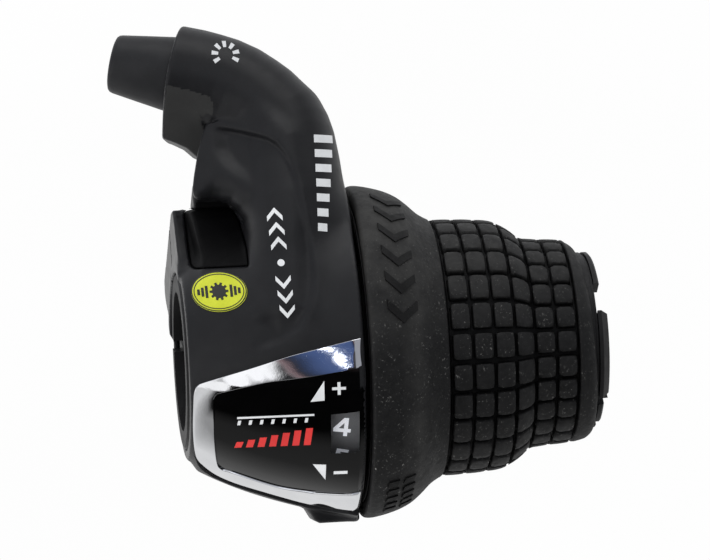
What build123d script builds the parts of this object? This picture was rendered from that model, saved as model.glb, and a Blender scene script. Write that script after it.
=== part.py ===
# Right-hand seven-step twist grip shifter.
#
# Frame: origin on the handlebar axis, at the inboard face of the clamp
# collar. +X runs outboard along the handlebar, +Y points forward, +Z is up.
# The indicator face leans back by LEAN, so most sketches lie in a leaned set
# of planes: u runs up along that face and n points out of it to the rider.

import os
from math import cos, radians, sin, sqrt

from build123d import *

os.makedirs("parts", exist_ok=True)

# ---------------------------------------------------------------- dimensions
LEAN = 25.0  # how far the indicator face leans back

BORE_R = 11.2  # handlebar seat
COLLAR_R = 14.2  # clamp collar, outside
COLLAR_END = 11.0
SLEEVE_R = 12.6  # bearing sleeve for the grip
SLEEVE_END = 66.0
TAB_END = 67.7  # snap tabs past the sleeve
TAB_R = 14.2
# gaps between the tabs: polar angle, width
TAB_GAPS = [(60.2, 5.0), (134.0, 1.4), (168.0, 5.0), (224.0, 1.4), (278.0, 4.2), (350.0, 1.4)]
SHORT_TAB_END = 66.9  # the tabs above and below are shorter
WEB_X0, WEB_X1, WEB_R = 9.5, 11.5, 18.3

EAR_X0, EAR_X1 = 1.7, 8.7  # clamp ears behind the collar
EAR_N0, EAR_N1 = -23.4, -12.0
EAR_U = 9.5
EAR_TILT = 12.0  # the ears are turned up by this about the bar
SLOT = 1.8  # clamp gap
BOLT_X, BOLT_N = 5.2, -18.2
BOLT_R = 2.0
BOLT_HOLE_R = 2.15
HEAD_R, HEAD_H = 3.5, 4.0
NUT_AF, NUT_H = 7.0, 3.2
CURTAIN = 0.9  # cover wall that hides the ears from the inboard side

WALL = 1.8  # cover wall
# outside of the housing bell: distance along the bar, radius
BELL = [
    (0.4, 15.9),
    (4.5, 18.0),
    (7.8, 19.9),
    (12.2, 21.5),
    (17.8, 23.3),
    (21.2, 24.3),
    (27.2, 25.9),
]
BELL_X0, BELL_X1 = BELL[0][0], BELL[-1][0]
# inboard shoulder of the housing, section in u, n
HUMP = [
    (14.3, 6.0),
    (22.9, -1.9),
    (23.7, -3.4),
    (22.6, -5.2),
    (14.1, -15.8),
    (6.0, -13.0),
    (6.0, 8.0),
]
HUMP_X1 = 11.6
SPLIT_N, SPLIT_SLOPE = -4.0, 0.192  # parting plane between the covers

# cable arm: a plane that leaves the winding circle on a tangent
ARM_LEAN = 25.0
ARM_U, ARM_N = 7.6, 16.3
ARM_HALF = 7.75
ARM_FILLET = 5.0
CABLE_X = 14.5
CABLE_R = 0.6
ELBOW_R = 9.0  # bend of the cable guide
GUIDE_R, GUIDE_BORE_R = 1.6, 0.9
STOP_X, STOP_V = 1.45, 42.5  # where the casing stop meets the arm
STOP_DIR = (-0.952, 0.234, -0.199)  # its axis in x, u, n
STOP_BASE_R, STOP_TIP_R, STOP_LEN = 5.9, 4.6, 10.2
STOP_PLUG_R, STOP_PLUG_LEN = 3.4, 6.0
CASING_R, CASING_DEPTH = 2.6, 9.0

# indicator, outlines in x, u
BEZEL = [
    (0.8, -4.08),
    (2.73, -3.17),
    (9.14, -1.49),
    (15.62, 0.28),
    (19.94, 1.15),
    (25.34, 2.18),
    (27.0, 1.77),
    (27.0, -23.5),
    (26.35, -24.97),
    (25.39, -25.21),
    (20.77, -24.4),
    (17.45, -23.4),
    (11.86, -21.4),
    (7.49, -19.6),
    (4.27, -17.7),
    (1.86, -15.9),
    (0.95, -14.36),
    (0.6, -10.88),
    (0.6, -6.39),
]
WINDOW = [
    (3.72, -6.54),
    (4.06, -5.45),
    (4.82, -5.04),
    (11.21, -3.79),
    (19.77, -3.01),
    (27.0, -2.14),
    (27.0, -21.4),
    (26.54, -22.06),
    (24.45, -22.34),
    (20.19, -21.94),
    (13.74, -20.5),
    (7.18, -18.0),
    (5.09, -17.0),
    (4.31, -15.88),
    (3.82, -12.16),
]
BEZEL_OUT, BEZEL_IN = 0.6, 0.5
BEZEL_N = 2.9  # the bezel's lower edge stays this far out
LENS_OUT, LENS_IN = 0.35, 1.2
NUMBER_WINDOW = (21.0, 26.4, -16.2, -8.7)  # x from, x to, u from, u to

LABEL_X, LABEL_U, LABEL_A, LABEL_B, LABEL_T = 5.84, 10.97, 4.1, 3.06, 0.15
CAP = (2.4, 11.6, 14.7, 22.7)  # x from, x to, u from, u to
CAP_TOP, CAP_FLOOR = 0.35, 1.5

# turning parts
BARREL_IN, BARREL_R = 12.65, 14.2
BARREL_X0, BARREL_X1 = 12.2, 65.4
THRUST_T = 0.6
DRUM_X0, DRUM_X1 = 12.2, 20.3
DRUM_R = 18.6
DETENT_X0 = 16.8
DETENT_R, NOTCH_R = 19.6, 18.3
STEP = 15.0  # one click
STEPS = 7
NIPPLE_R, NIPPLE_PHI = 2.2, -40.0
RING_X0, RING_X1 = 20.7, 27.0
RING_GAP, RING_T = 0.45, 1.2
# former inside the rubber
FORMER = [
    (27.9, 24.2),
    (30.0, 24.3),
    (33.5, 23.4),
    (37.0, 21.4),
    (41.0, 18.4),
    (50.5, 17.6),
    (55.5, 14.6),
]
FORMER_T = 1.6
RUBBER = [
    (28.0, 26.3),
    (28.4, 26.7),
    (29.4, 26.75),
    (30.75, 26.55),
    (32.4, 26.15),
    (34.1, 25.6),
    (35.8, 24.75),
    (37.4, 23.5),
    (39.0, 22.0),
    (40.65, 21.0),
    (41.4, 20.6),
    (44.7, 20.55),
    (48.7, 20.3),
    (51.1, 19.95),
    (52.4, 19.35),
    (54.1, 18.25),
    (55.7, 17.05),
    (57.4, 16.75),
    (62.2, 16.4),
    (63.4, 16.2),
    (64.4, 15.85),
    (65.1, 15.3),
    (65.6, 14.6),
]
RUBBER_END = 65.6
WASHER_X0, WASHER_X1, WASHER_R = 65.5, 65.9, 13.8

# detent leaf spring
LEAF_T = 0.5
LEAF_R = 20.55
LEAF_TIP_R = 19.2
LEAF_X0, LEAF_X1 = 17.2, 19.9
LEAF_PHI0, LEAF_PHI1, LEAF_TIP_PHI = 124.0, 197.0, 180.0
SPRING_SCREW_PHI = 130.0

# cover screws run along n: position x, u, head seat n, tip n
SCREWS = [(23.7, -24.9, -5.2, 2.4), (22.5, 25.8, -12.2, 1.0)]
SCREW_R, SCREW_HEAD_R, SCREW_HEAD_H = 1.2, 2.1, 1.4
BOSS_R = 3.0

# ---------------------------------------------------------------- frame
S, C = sin(radians(LEAN)), cos(radians(LEAN))
UP = Vector(0, S, C)
OUT = Vector(0, -C, S)
ALONG = Vector(1, 0, 0)


def at(x, u, n):
    return ALONG * x + UP * u + OUT * n


def front(n=0.0):
    """Plane facing the rider: local x along the bar, local y up the face."""
    return Plane(origin=at(0, 0, n), x_dir=ALONG, z_dir=OUT)


def section(x):
    """Plane across the bar: local x is u, local y is n."""
    return Plane(origin=at(x, 0, 0), x_dir=UP, z_dir=ALONG)


EAR_UP = UP * cos(radians(EAR_TILT)) + OUT * sin(radians(EAR_TILT))


def ear_level(u):
    """Plane across the clamp ears: local x along the bar, local y backwards."""
    return Plane(origin=EAR_UP * u, x_dir=ALONG, z_dir=EAR_UP)


def ear_section(x):
    """Plane across the bar, turned with the clamp ears."""
    return Plane(origin=at(x, 0, 0), x_dir=EAR_UP, z_dir=ALONG)


def ray(phi):
    """Unit direction at the angle phi from n towards u."""
    return OUT * cos(radians(phi)) + UP * sin(radians(phi))


def radial(x, phi, r):
    """Plane whose normal points away from the bar axis."""
    return Plane(origin=at(x, 0, 0) + ray(phi) * r, x_dir=ALONG, z_dir=ray(phi))


def bell_r(x):
    for (x0, r0), (x1, r1) in zip(BELL, BELL[1:]):
        if x <= x1:
            return r0 + (r1 - r0) * (x - x0) / (x1 - x0)
    return BELL[-1][1]


AL, AS = cos(radians(ARM_LEAN)), sin(radians(ARM_LEAN))
ARM_UP = UP * AL - OUT * AS
ARM_OUT = OUT * AL + UP * AS
ARM = Plane(origin=at(0, ARM_U, ARM_N), x_dir=ALONG, z_dir=ARM_OUT)
SPLIT = Plane(
    origin=at(0, 0, SPLIT_N), x_dir=ALONG, z_dir=OUT + UP * SPLIT_SLOPE
)
STOP_AXIS = (
    ALONG * STOP_DIR[0] + UP * STOP_DIR[1] + OUT * STOP_DIR[2]
).normalized()
STOP_AT = at(STOP_X, ARM_U, ARM_N) + ARM_UP * STOP_V
STOP = Plane(origin=STOP_AT, x_dir=STOP_AXIS.cross(ARM_OUT), z_dir=STOP_AXIS)


def bell_ring(low, high, mode=Mode.ADD):
    """Full ring that follows the bell, from low to high above its surface."""
    with BuildSketch(front()) as profile:
        with BuildLine():
            Polyline(
                *[(x, r + high) for x, r in BELL],
                *[(x, r + low) for x, r in reversed(BELL)],
                close=True,
            )
        make_face()
    revolve(profile.sketch, axis=Axis.X, mode=mode)


def bell_and_hump(depth, mode=Mode.ADD):
    """Bell with its inboard shoulder, set in by depth."""
    with BuildSketch(front()) as profile:
        with BuildLine():
            Polyline(
                *[(x, r - depth) for x, r in BELL],
                (BELL_X1, 0),
                (BELL_X0, 0),
                close=True,
            )
        make_face()
    revolve(profile.sketch, axis=Axis.X, mode=mode)
    with BuildSketch(section(BELL_X0)) as shoulder:
        Polygon(*HUMP, align=None)
        if depth:
            offset(amount=-depth, kind=Kind.INTERSECTION, mode=Mode.REPLACE)
    extrude(shoulder.sketch, amount=HUMP_X1 - BELL_X0, mode=mode)


def cut_cavity():
    """Room for the collar, the drum and the number ring."""
    with BuildSketch(front()) as profile:
        with BuildLine():
            Polyline(
                (-1, 0),
                (-1, COLLAR_R + 0.1),
                (2.4, COLLAR_R + 0.1),
                (2.4, bell_r(2.4) - WALL),
                *[(x, r - WALL) for x, r in BELL[1:]],
                (BELL_X1 + 1, BELL[-1][1] - WALL),
                (BELL_X1 + 1, 0),
                close=True,
            )
        make_face()
    revolve(profile.sketch, axis=Axis.X, mode=Mode.SUBTRACT)


# ---------------------------------------------------------------- bracket
# Collar, web, sleeve and snap tabs are one moulding.
with BuildPart() as clamp_bracket:
    with BuildSketch(front()):
        with BuildLine():
            Polyline(
                (0, BORE_R),
                (0, COLLAR_R - 0.5),
                (0.5, COLLAR_R),
                (WEB_X0, COLLAR_R),
                (WEB_X0, WEB_R),
                (WEB_X1, WEB_R),
                (WEB_X1, SLEEVE_R),
                (SLEEVE_END, SLEEVE_R),
                (SLEEVE_END, TAB_R),
                (SLEEVE_END + 0.6, TAB_R),
                (TAB_END, TAB_R - 1.3),
                (TAB_END, BORE_R + 0.4),
                (TAB_END - 0.4, BORE_R),
                close=True,
            )
        make_face()
    revolve(axis=Axis.X)
    # ears
    with BuildSketch(ear_level(-EAR_U)):
        with BuildLine():
            Polyline(
                (EAR_X0, -EAR_N1),
                (EAR_X1, -EAR_N1),
                (EAR_X1, -EAR_N0),
                (EAR_X0, -EAR_N0),
                close=True,
            )
        make_face()
        fillet(
            [v for v in vertices() if v.Y > -EAR_N0 - 0.1], radius=2.0
        )
    extrude(amount=2 * EAR_U)
    with BuildSketch(section(-1)):
        Circle(BORE_R)
    extrude(amount=TAB_END + 2, mode=Mode.SUBTRACT)
    # clamp gap, and the slit that frees the collar from the web at the back
    with BuildSketch(ear_level(-SLOT / 2)):
        with BuildLine():
            Polyline((-1, 8), (EAR_X1 + 0.7, 8), (EAR_X1 + 0.7, 30), (-1, 30), close=True)
        make_face()
    extrude(amount=SLOT, mode=Mode.SUBTRACT)
    with BuildSketch(ear_section(EAR_X1 + 0.1)):
        with BuildLine():
            Polyline((-20, -3), (20, -3), (20, -30), (-20, -30), close=True)
        make_face()
    extrude(amount=WEB_X0 - EAR_X1 - 0.2, mode=Mode.SUBTRACT)
    # bolt hole
    with BuildSketch(ear_level(-20)):
        with Locations((BOLT_X, -BOLT_N)):
            Circle(BOLT_HOLE_R)
    extrude(amount=40, mode=Mode.SUBTRACT)
    # gaps between the snap tabs, run back into the sleeve so that they flex
    with BuildSketch(section(60.0)):
        for angle, width in TAB_GAPS:
            with PolarLocations(13.0, 1, start_angle=angle):
                Rectangle(6.0, width)
    extrude(amount=10, mode=Mode.SUBTRACT)
    with BuildSketch(section(SHORT_TAB_END)):
        with Locations((12.0, 0.0), (-14.35, 0.0)):
            Rectangle(10.0, 40.0)
    extrude(amount=4, mode=Mode.SUBTRACT)
clamp_bracket.part.label = "clamp_bracket"
export_step(clamp_bracket.part, "parts/clamp_bracket.step")

with BuildPart() as clamp_bolt:
    with BuildSketch(ear_level(-EAR_U - HEAD_H)):
        with Locations((BOLT_X, -BOLT_N)):
            Circle(HEAD_R)
    extrude(amount=HEAD_H)
    with BuildSketch(ear_level(-EAR_U)):
        with Locations((BOLT_X, -BOLT_N)):
            Circle(BOLT_R)
    extrude(amount=2 * EAR_U + NUT_H + 0.6)
    with BuildSketch(ear_level(-EAR_U - HEAD_H)):
        with Locations((BOLT_X, -BOLT_N)):
            RegularPolygon(1.5, 6, major_radius=False)
    extrude(amount=2.2, mode=Mode.SUBTRACT)
clamp_bolt.part.label = "clamp_bolt"
export_step(clamp_bolt.part, "parts/clamp_bolt.step")

with BuildPart() as clamp_nut:
    with BuildSketch(ear_level(EAR_U)):
        with Locations((BOLT_X, -BOLT_N)):
            RegularPolygon(NUT_AF / 2, 6, major_radius=False, rotation=30)
            Circle(BOLT_R, mode=Mode.SUBTRACT)
    extrude(amount=NUT_H)
clamp_nut.part.label = "clamp_nut"
export_step(clamp_nut.part, "parts/clamp_nut.step")

# ---------------------------------------------------------------- cable arm
# Outline in the arm's own plane: along the bar, up the arm.
with BuildPart() as arm_block:
    with BuildSketch(ARM):
        with BuildLine():
            Polyline(
                (3.8, 50.1), (-0.5, 36.0), (-0.7, 31.0), (3.0, 29.3),
                (4.5, 27.8), (3.9, 24.2), (3.4, 19.5), (11.8, 17.0),
                (12.2, 8.0), (27.0, 8.0), (27.0, 24.0),
            )
            Spline(
                (27.0, 24.0), (26.75, 28.0), (25.9, 32.5), (24.3, 36.5),
                (21.6, 40.3), (18.5, 43.4), (14.6, 46.1), (9.2, 48.5),
                (3.8, 50.1),
                tangents=((0, 1), (-0.96, 0.28)),
            )
        make_face()
    extrude(amount=ARM_HALF, both=True)
    outer = [
        e
        for e in arm_block.edges()
        if abs(abs(ARM.to_local_coords(e @ 0.5).Z) - ARM_HALF) < 1e-4
        and ARM.to_local_coords(e @ 0.5).X > 12.5
        and ARM.to_local_coords(e @ 0.5).Y > 12.5
    ]
    fillet(outer, ARM_FILLET)

# Centre line of the cable through the arm.
along_x = STOP_DIR[0]
along_v = STOP_DIR[1] * AL - STOP_DIR[2] * AS
corner_v = STOP_V - (CABLE_X - STOP_X) * along_v / -along_x
with BuildPart() as guide_tool:
    with BuildLine(ARM) as guide_line:
        FilletPolyline(
            (CABLE_X, 10.6),
            (CABLE_X, corner_v),
            (
                STOP_X - along_x * (STOP_PLUG_LEN + 0.4),
                STOP_V - along_v * (STOP_PLUG_LEN + 0.4),
            ),
            radius=ELBOW_R,
        )
    with BuildSketch(
        Plane(origin=guide_line.line @ 0, x_dir=ALONG, z_dir=guide_line.line % 0)
    ):
        Circle(GUIDE_R)
    sweep(path=guide_line.line)

with BuildPart() as cable_guide:
    add(guide_tool.part)
    with BuildSketch(
        Plane(origin=guide_line.line @ 0, x_dir=ALONG, z_dir=guide_line.line % 0)
    ):
        Circle(GUIDE_BORE_R)
    sweep(path=guide_line.line, mode=Mode.SUBTRACT)
cable_guide.part.label = "cable_guide"
export_step(cable_guide.part, "parts/cable_guide.step")

# ---------------------------------------------------------------- cutters
with BuildPart() as bezel_seat:
    bell_ring(-BEZEL_IN, 3.0)
    with BuildSketch(front(BEZEL_N)):
        Polygon(*BEZEL, align=None)
        offset(amount=0.05, kind=Kind.INTERSECTION)
        with Locations((27.5, -11.5)):
            Rectangle(1.4, 26.0)
    extrude(amount=40, mode=Mode.INTERSECT)

with BuildPart() as lens_seat:
    bell_ring(-LENS_IN, 3.0)
    with BuildSketch(front()):
        Polygon(*WINDOW, align=None)
        with Locations((27.5, -11.8)):
            Rectangle(1.4, 19.2)
    extrude(amount=40, mode=Mode.INTERSECT)

with BuildPart() as cap_seat:
    with BuildSketch(front(-5.0)):
        with Locations(((CAP[0] + CAP[1]) / 2, (CAP[2] + CAP[3]) / 2)):
            RectangleRounded(CAP[1] - CAP[0] + 0.2, CAP[3] - CAP[2] + 0.2, 1.2)
    extrude(amount=35)
    bell_and_hump(CAP_FLOOR + 0.05, mode=Mode.SUBTRACT)


def screw_bosses():
    for x, u, seat, tip in SCREWS:
        with BuildSketch(front(seat - SCREW_HEAD_H)) as boss:
            with Locations((x, u)):
                Circle(BOSS_R if u > 0 else 2.2)
        extrude(boss.sketch, amount=tip + 0.4 - seat + SCREW_HEAD_H)


def screw_holes():
    for x, u, seat, tip in SCREWS:
        with BuildSketch(front(seat)) as shank:
            with Locations((x, u)):
                Circle(SCREW_R)
        extrude(shank.sketch, amount=tip - seat, mode=Mode.SUBTRACT)
        with BuildSketch(front(seat - 12)) as head:
            with Locations((x, u)):
                Circle(SCREW_HEAD_R + 0.1)
        extrude(head.sketch, amount=12, mode=Mode.SUBTRACT)


# ---------------------------------------------------------------- covers
with BuildPart() as front_cover:
    bell_and_hump(0)
    screw_bosses()
    split(bisect_by=SPLIT, keep=Keep.TOP)
    add(arm_block.part)
    cut_cavity()
    add(bezel_seat.part, mode=Mode.SUBTRACT)
    add(lens_seat.part, mode=Mode.SUBTRACT)
    add(cap_seat.part, mode=Mode.SUBTRACT)
    # opening under the number window
    with BuildSketch(front(6.0)):
        with Locations(
            (
                (NUMBER_WINDOW[0] + NUMBER_WINDOW[1]) / 2,
                (NUMBER_WINDOW[2] + NUMBER_WINDOW[3]) / 2,
            )
        ):
            Rectangle(
                NUMBER_WINDOW[1] - NUMBER_WINDOW[0],
                NUMBER_WINDOW[3] - NUMBER_WINDOW[2],
            )
    extrude(amount=30, mode=Mode.SUBTRACT)
    # cable channel, casing stop socket and its seat
    add(guide_tool.part, mode=Mode.SUBTRACT)
    with BuildSketch(STOP.offset(-STOP_PLUG_LEN)):
        Circle(STOP_PLUG_R)
    extrude(amount=STOP_PLUG_LEN + 5, mode=Mode.SUBTRACT)
    with BuildSketch(STOP):
        Circle(STOP_BASE_R + 0.1)
    extrude(amount=6, mode=Mode.SUBTRACT)
    # hole under the cap for a new inner cable
    with BuildSketch(radial(6.6, 70.0, 12.0)):
        Circle(2.2)
    extrude(amount=6.9, mode=Mode.SUBTRACT)
    screw_holes()
front_cover.part.label = "front_cover"
export_step(front_cover.part, "parts/front_cover.step")

with BuildPart() as rear_cover:
    bell_and_hump(0)
    screw_bosses()
    # pad that carries the detent spring
    with BuildSketch(radial((LEAF_X0 + LEAF_X1) / 2, SPRING_SCREW_PHI, LEAF_R)):
        Rectangle(5.0, 5.0)
    extrude(amount=2.6)
    split(bisect_by=SPLIT, keep=Keep.BOTTOM)
    cut_cavity()
    # pad again inside the hollow, down to the leaf
    with BuildSketch(
        radial((LEAF_X0 + LEAF_X1) / 2, SPRING_SCREW_PHI, LEAF_R + LEAF_T)
    ):
        Rectangle(3.4, 3.0)
    extrude(amount=1.4)
    # room for the clamp ears, the bolt and the nut
    with BuildSketch(ear_section(BELL_X0 + CURTAIN)):
        with BuildLine():
            Polyline((-14.4, -8.5), (13.8, -8.5), (13.8, -30), (-14.4, -30), close=True)
        make_face()
    extrude(amount=EAR_X1 + 0.5 - BELL_X0 - CURTAIN, mode=Mode.SUBTRACT)
    # spring screw: clearance hole and head recess
    with BuildSketch(radial((LEAF_X0 + LEAF_X1) / 2, SPRING_SCREW_PHI, 19.0)):
        Circle(1.1)
    extrude(amount=8, mode=Mode.SUBTRACT)
    with BuildSketch(radial((LEAF_X0 + LEAF_X1) / 2, SPRING_SCREW_PHI, 22.9)):
        Circle(1.9)
    extrude(amount=8, mode=Mode.SUBTRACT)
    screw_holes()
rear_cover.part.label = "rear_cover"
export_step(rear_cover.part, "parts/rear_cover.step")

with BuildPart() as cover_screws:
    for x, u, seat, tip in SCREWS:
        with BuildSketch(front(seat - SCREW_HEAD_H)):
            with Locations((x, u)):
                Circle(SCREW_HEAD_R)
        extrude(amount=SCREW_HEAD_H)
        with BuildSketch(front(seat)):
            with Locations((x, u)):
                Circle(SCREW_R)
        extrude(amount=tip - seat - 0.3)
        with BuildSketch(front(seat - SCREW_HEAD_H)):
            with Locations((x, u)):
                Rectangle(2.4, 0.6)
                Rectangle(0.6, 2.4)
        extrude(amount=0.8, mode=Mode.SUBTRACT)
cover_screws.part.label = "cover_screws"
export_step(cover_screws.part, "parts/cover_screws.step")

with BuildPart() as cable_hole_cap:
    bell_and_hump(CAP_TOP)
    with BuildSketch(front(-4.9)):
        with Locations(((CAP[0] + CAP[1]) / 2, (CAP[2] + CAP[3]) / 2)):
            RectangleRounded(CAP[1] - CAP[0], CAP[3] - CAP[2], 1.1)
    extrude(amount=35, mode=Mode.INTERSECT)
    bell_and_hump(CAP_FLOOR, mode=Mode.SUBTRACT)
    # plug that enters the hole
    with BuildSketch(radial(6.6, 70.0, 17.0)):
        Circle(2.0)
        Circle(1.2, mode=Mode.SUBTRACT)
    extrude(amount=1.6)
cable_hole_cap.part.label = "cable_hole_cap"
export_step(cable_hole_cap.part, "parts/cable_hole_cap.step")

with BuildPart() as casing_stop:
    with BuildSketch(STOP):
        Circle(STOP_BASE_R)
    with BuildSketch(STOP.offset(STOP_LEN)):
        Circle(STOP_TIP_R)
    loft()
    rim = casing_stop.faces().sort_by(Axis(STOP_AT, STOP_AXIS))[-1].edges()
    fillet(rim, 0.8)
    with BuildSketch(STOP.offset(-STOP_PLUG_LEN)):
        Circle(STOP_PLUG_R)
    extrude(amount=STOP_PLUG_LEN)
    with BuildSketch(STOP.offset(STOP_LEN - CASING_DEPTH)):
        Circle(CASING_R)
    extrude(amount=CASING_DEPTH + 1, mode=Mode.SUBTRACT)
    with BuildSketch(STOP.offset(-STOP_PLUG_LEN - 1)):
        Circle(GUIDE_BORE_R)
    extrude(amount=STOP_PLUG_LEN + STOP_LEN, mode=Mode.SUBTRACT)
casing_stop.part.label = "casing_stop"
export_step(casing_stop.part, "parts/casing_stop.step")

# ---------------------------------------------------------------- indicator
with BuildPart() as indicator_bezel:
    bell_ring(-BEZEL_IN, BEZEL_OUT)
    with BuildSketch(front(BEZEL_N)):
        Polygon(*BEZEL, align=None)
        Polygon(*WINDOW, align=None, mode=Mode.SUBTRACT)
    extrude(amount=40, mode=Mode.INTERSECT)
indicator_bezel.part.label = "indicator_bezel"
export_step(indicator_bezel.part, "parts/indicator_bezel.step")

with BuildPart() as indicator_lens:
    bell_ring(-LENS_IN + 0.05, LENS_OUT)
    with BuildSketch(front()):
        Polygon(*WINDOW, align=None)
        offset(amount=-0.06, kind=Kind.INTERSECTION)
    extrude(amount=40, mode=Mode.INTERSECT)
indicator_lens.part.label = "indicator_lens"
export_step(indicator_lens.part, "parts/indicator_lens.step")

with BuildPart() as oval_label:
    bell_ring(0, LABEL_T)
    with BuildSketch(front()):
        with Locations((LABEL_X, LABEL_U)):
            Ellipse(LABEL_A, LABEL_B)
    extrude(amount=40, mode=Mode.INTERSECT)
oval_label.part.label = "oval_label"
export_step(oval_label.part, "parts/oval_label.step")

# ---------------------------------------------------------------- turning parts
with BuildPart() as thrust_washer:
    with BuildSketch(section(WEB_X1)):
        Circle(17.4)
        Circle(SLEEVE_R + 0.05, mode=Mode.SUBTRACT)
    extrude(amount=THRUST_T)
thrust_washer.part.label = "thrust_washer"
export_step(thrust_washer.part, "parts/thrust_washer.step")

with BuildPart() as end_washer:
    with BuildSketch(section(WASHER_X0)):
        Circle(WASHER_R)
        Circle(SLEEVE_R + 0.05, mode=Mode.SUBTRACT)
    extrude(amount=WASHER_X1 - WASHER_X0)
end_washer.part.label = "end_washer"
export_step(end_washer.part, "parts/end_washer.step")

with BuildPart() as winding_drum:
    with BuildSketch(front()):
        with BuildLine():
            Polyline(
                (DRUM_X0, BARREL_R),
                (DRUM_X0, DRUM_R),
                (CABLE_X - 1.2, DRUM_R),
                (CABLE_X - 0.6, DRUM_R - 1.2),
                (CABLE_X + 0.6, DRUM_R - 1.2),
                (CABLE_X + 1.2, DRUM_R),
                (DETENT_X0, DRUM_R),
                (DETENT_X0, DETENT_R),
                (DRUM_X1, DETENT_R),
                (DRUM_X1, BARREL_R),
                close=True,
            )
        make_face()
    revolve(axis=Axis.X)
    # seven notches at the back
    with BuildSketch(section(DETENT_X0)):
        with PolarLocations(
            0, STEPS, start_angle=-90 - STEP * (STEPS - 1) / 2,
            angular_range=STEP * STEPS,
        ):
            Polygon((NOTCH_R, 0), (20.4, 2.1), (20.4, -2.1), align=None)
    extrude(amount=DRUM_X1 - DETENT_X0 + 1, mode=Mode.SUBTRACT)
    # seat for the cable nipple
    with BuildSketch(radial(CABLE_X, NIPPLE_PHI, BARREL_R + 0.4)):
        Circle(NIPPLE_R)
    extrude(amount=8, mode=Mode.SUBTRACT)
winding_drum.part.label = "winding_drum"
export_step(winding_drum.part, "parts/winding_drum.step")

ring_out = [
    (x, bell_r(x) - WALL - RING_GAP) for x in (RING_X0, 21.2, RING_X1)
]
with BuildPart() as number_ring:
    with BuildSketch(front()):
        with BuildLine():
            Polyline(
                *ring_out,
                (RING_X1, BARREL_R),
                (RING_X1 - 1.2, BARREL_R),
                (RING_X1 - 1.2, ring_out[-1][1] - 0.3 - RING_T),
                (RING_X0, ring_out[0][1] - RING_T),
                close=True,
            )
        make_face()
    revolve(axis=Axis.X)
number_ring.part.label = "number_ring"
export_step(number_ring.part, "parts/number_ring.step")

with BuildPart() as grip_barrel:
    with BuildSketch(front()):
        with BuildLine():
            Polyline(
                (BARREL_X0, BARREL_IN),
                (BARREL_X0, BARREL_R),
                (50.0, BARREL_R),
                (50.0, FORMER[-2][1] - FORMER_T),
                (FORMER[4][0] - 0.6, FORMER[4][1] - FORMER_T),
                (FORMER[3][0] - 0.6, FORMER[3][1] - FORMER_T),
                (FORMER[2][0] - 0.4, FORMER[2][1] - FORMER_T),
                (FORMER[1][0], FORMER[1][1] - FORMER_T),
                (FORMER[0][0], FORMER[0][1] - FORMER_T),
                *FORMER,
                (BARREL_X1, BARREL_R),
                (BARREL_X1, BARREL_IN),
                close=True,
            )
        make_face()
    revolve(axis=Axis.X)
grip_barrel.part.label = "grip_barrel"
export_step(grip_barrel.part, "parts/grip_barrel.step")

with BuildPart() as grip_rubber:
    with BuildSketch(front()):
        with BuildLine():
            Polyline(
                (28.0, FORMER[0][1] + (FORMER[1][1] - FORMER[0][1]) * 0.1 / 2.1),
                *FORMER[1:],
                (BARREL_X1, BARREL_R),
                    (RUBBER_END, BARREL_R),
                *reversed(RUBBER),
                close=True,
            )
        make_face()
    revolve(axis=Axis.X)
grip_rubber.part.label = "grip_rubber"
export_step(grip_rubber.part, "parts/grip_rubber.step")


# ---------------------------------------------------------------- detent
def leaf(shift):
    pts = []
    for i in range(74):
        phi = LEAF_PHI0 + (LEAF_PHI1 - LEAF_PHI0) * i / 73
        dip = max(0.0, 1 - abs(phi - LEAF_TIP_PHI) / 6.0)
        r = LEAF_R - (LEAF_R - LEAF_TIP_R) * dip + shift
        pts.append((r * sin(radians(phi)), r * cos(radians(phi))))
    return pts


with BuildPart() as detent_spring:
    with BuildSketch(section(LEAF_X0)):
        with BuildLine():
            Polyline(*leaf(LEAF_T / 2), *reversed(leaf(-LEAF_T / 2)), close=True)
        make_face()
    extrude(amount=LEAF_X1 - LEAF_X0)
    with BuildSketch(radial((LEAF_X0 + LEAF_X1) / 2, SPRING_SCREW_PHI, 19.0)):
        Circle(1.0)
    extrude(amount=4, mode=Mode.SUBTRACT)
detent_spring.part.label = "detent_spring"
export_step(detent_spring.part, "parts/detent_spring.step")

with BuildPart() as spring_screw:
    with BuildSketch(radial((LEAF_X0 + LEAF_X1) / 2, SPRING_SCREW_PHI, 20.1)):
        Circle(1.0)
    extrude(amount=2.85)
    with BuildSketch(radial((LEAF_X0 + LEAF_X1) / 2, SPRING_SCREW_PHI, 22.95)):
        Circle(1.8)
    extrude(amount=1.0)
    with BuildSketch(radial((LEAF_X0 + LEAF_X1) / 2, SPRING_SCREW_PHI, 23.4)):
        Rectangle(2.2, 0.5)
        Rectangle(0.5, 2.2)
    extrude(amount=1.0, mode=Mode.SUBTRACT)
spring_screw.part.label = "spring_screw"
export_step(spring_screw.part, "parts/spring_screw.step")
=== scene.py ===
# Looks of the twist grip shifter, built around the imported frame.
# Lengths in this file are millimetres in the leaned frame of the indicator
# face (x along the handlebar, u up the face, n out of it) unless said
# otherwise, and are turned to metres in the row frame when a mesh is made.
import math

import bmesh
import bpy
import numpy as np
from mathutils import Matrix, Vector

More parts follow.
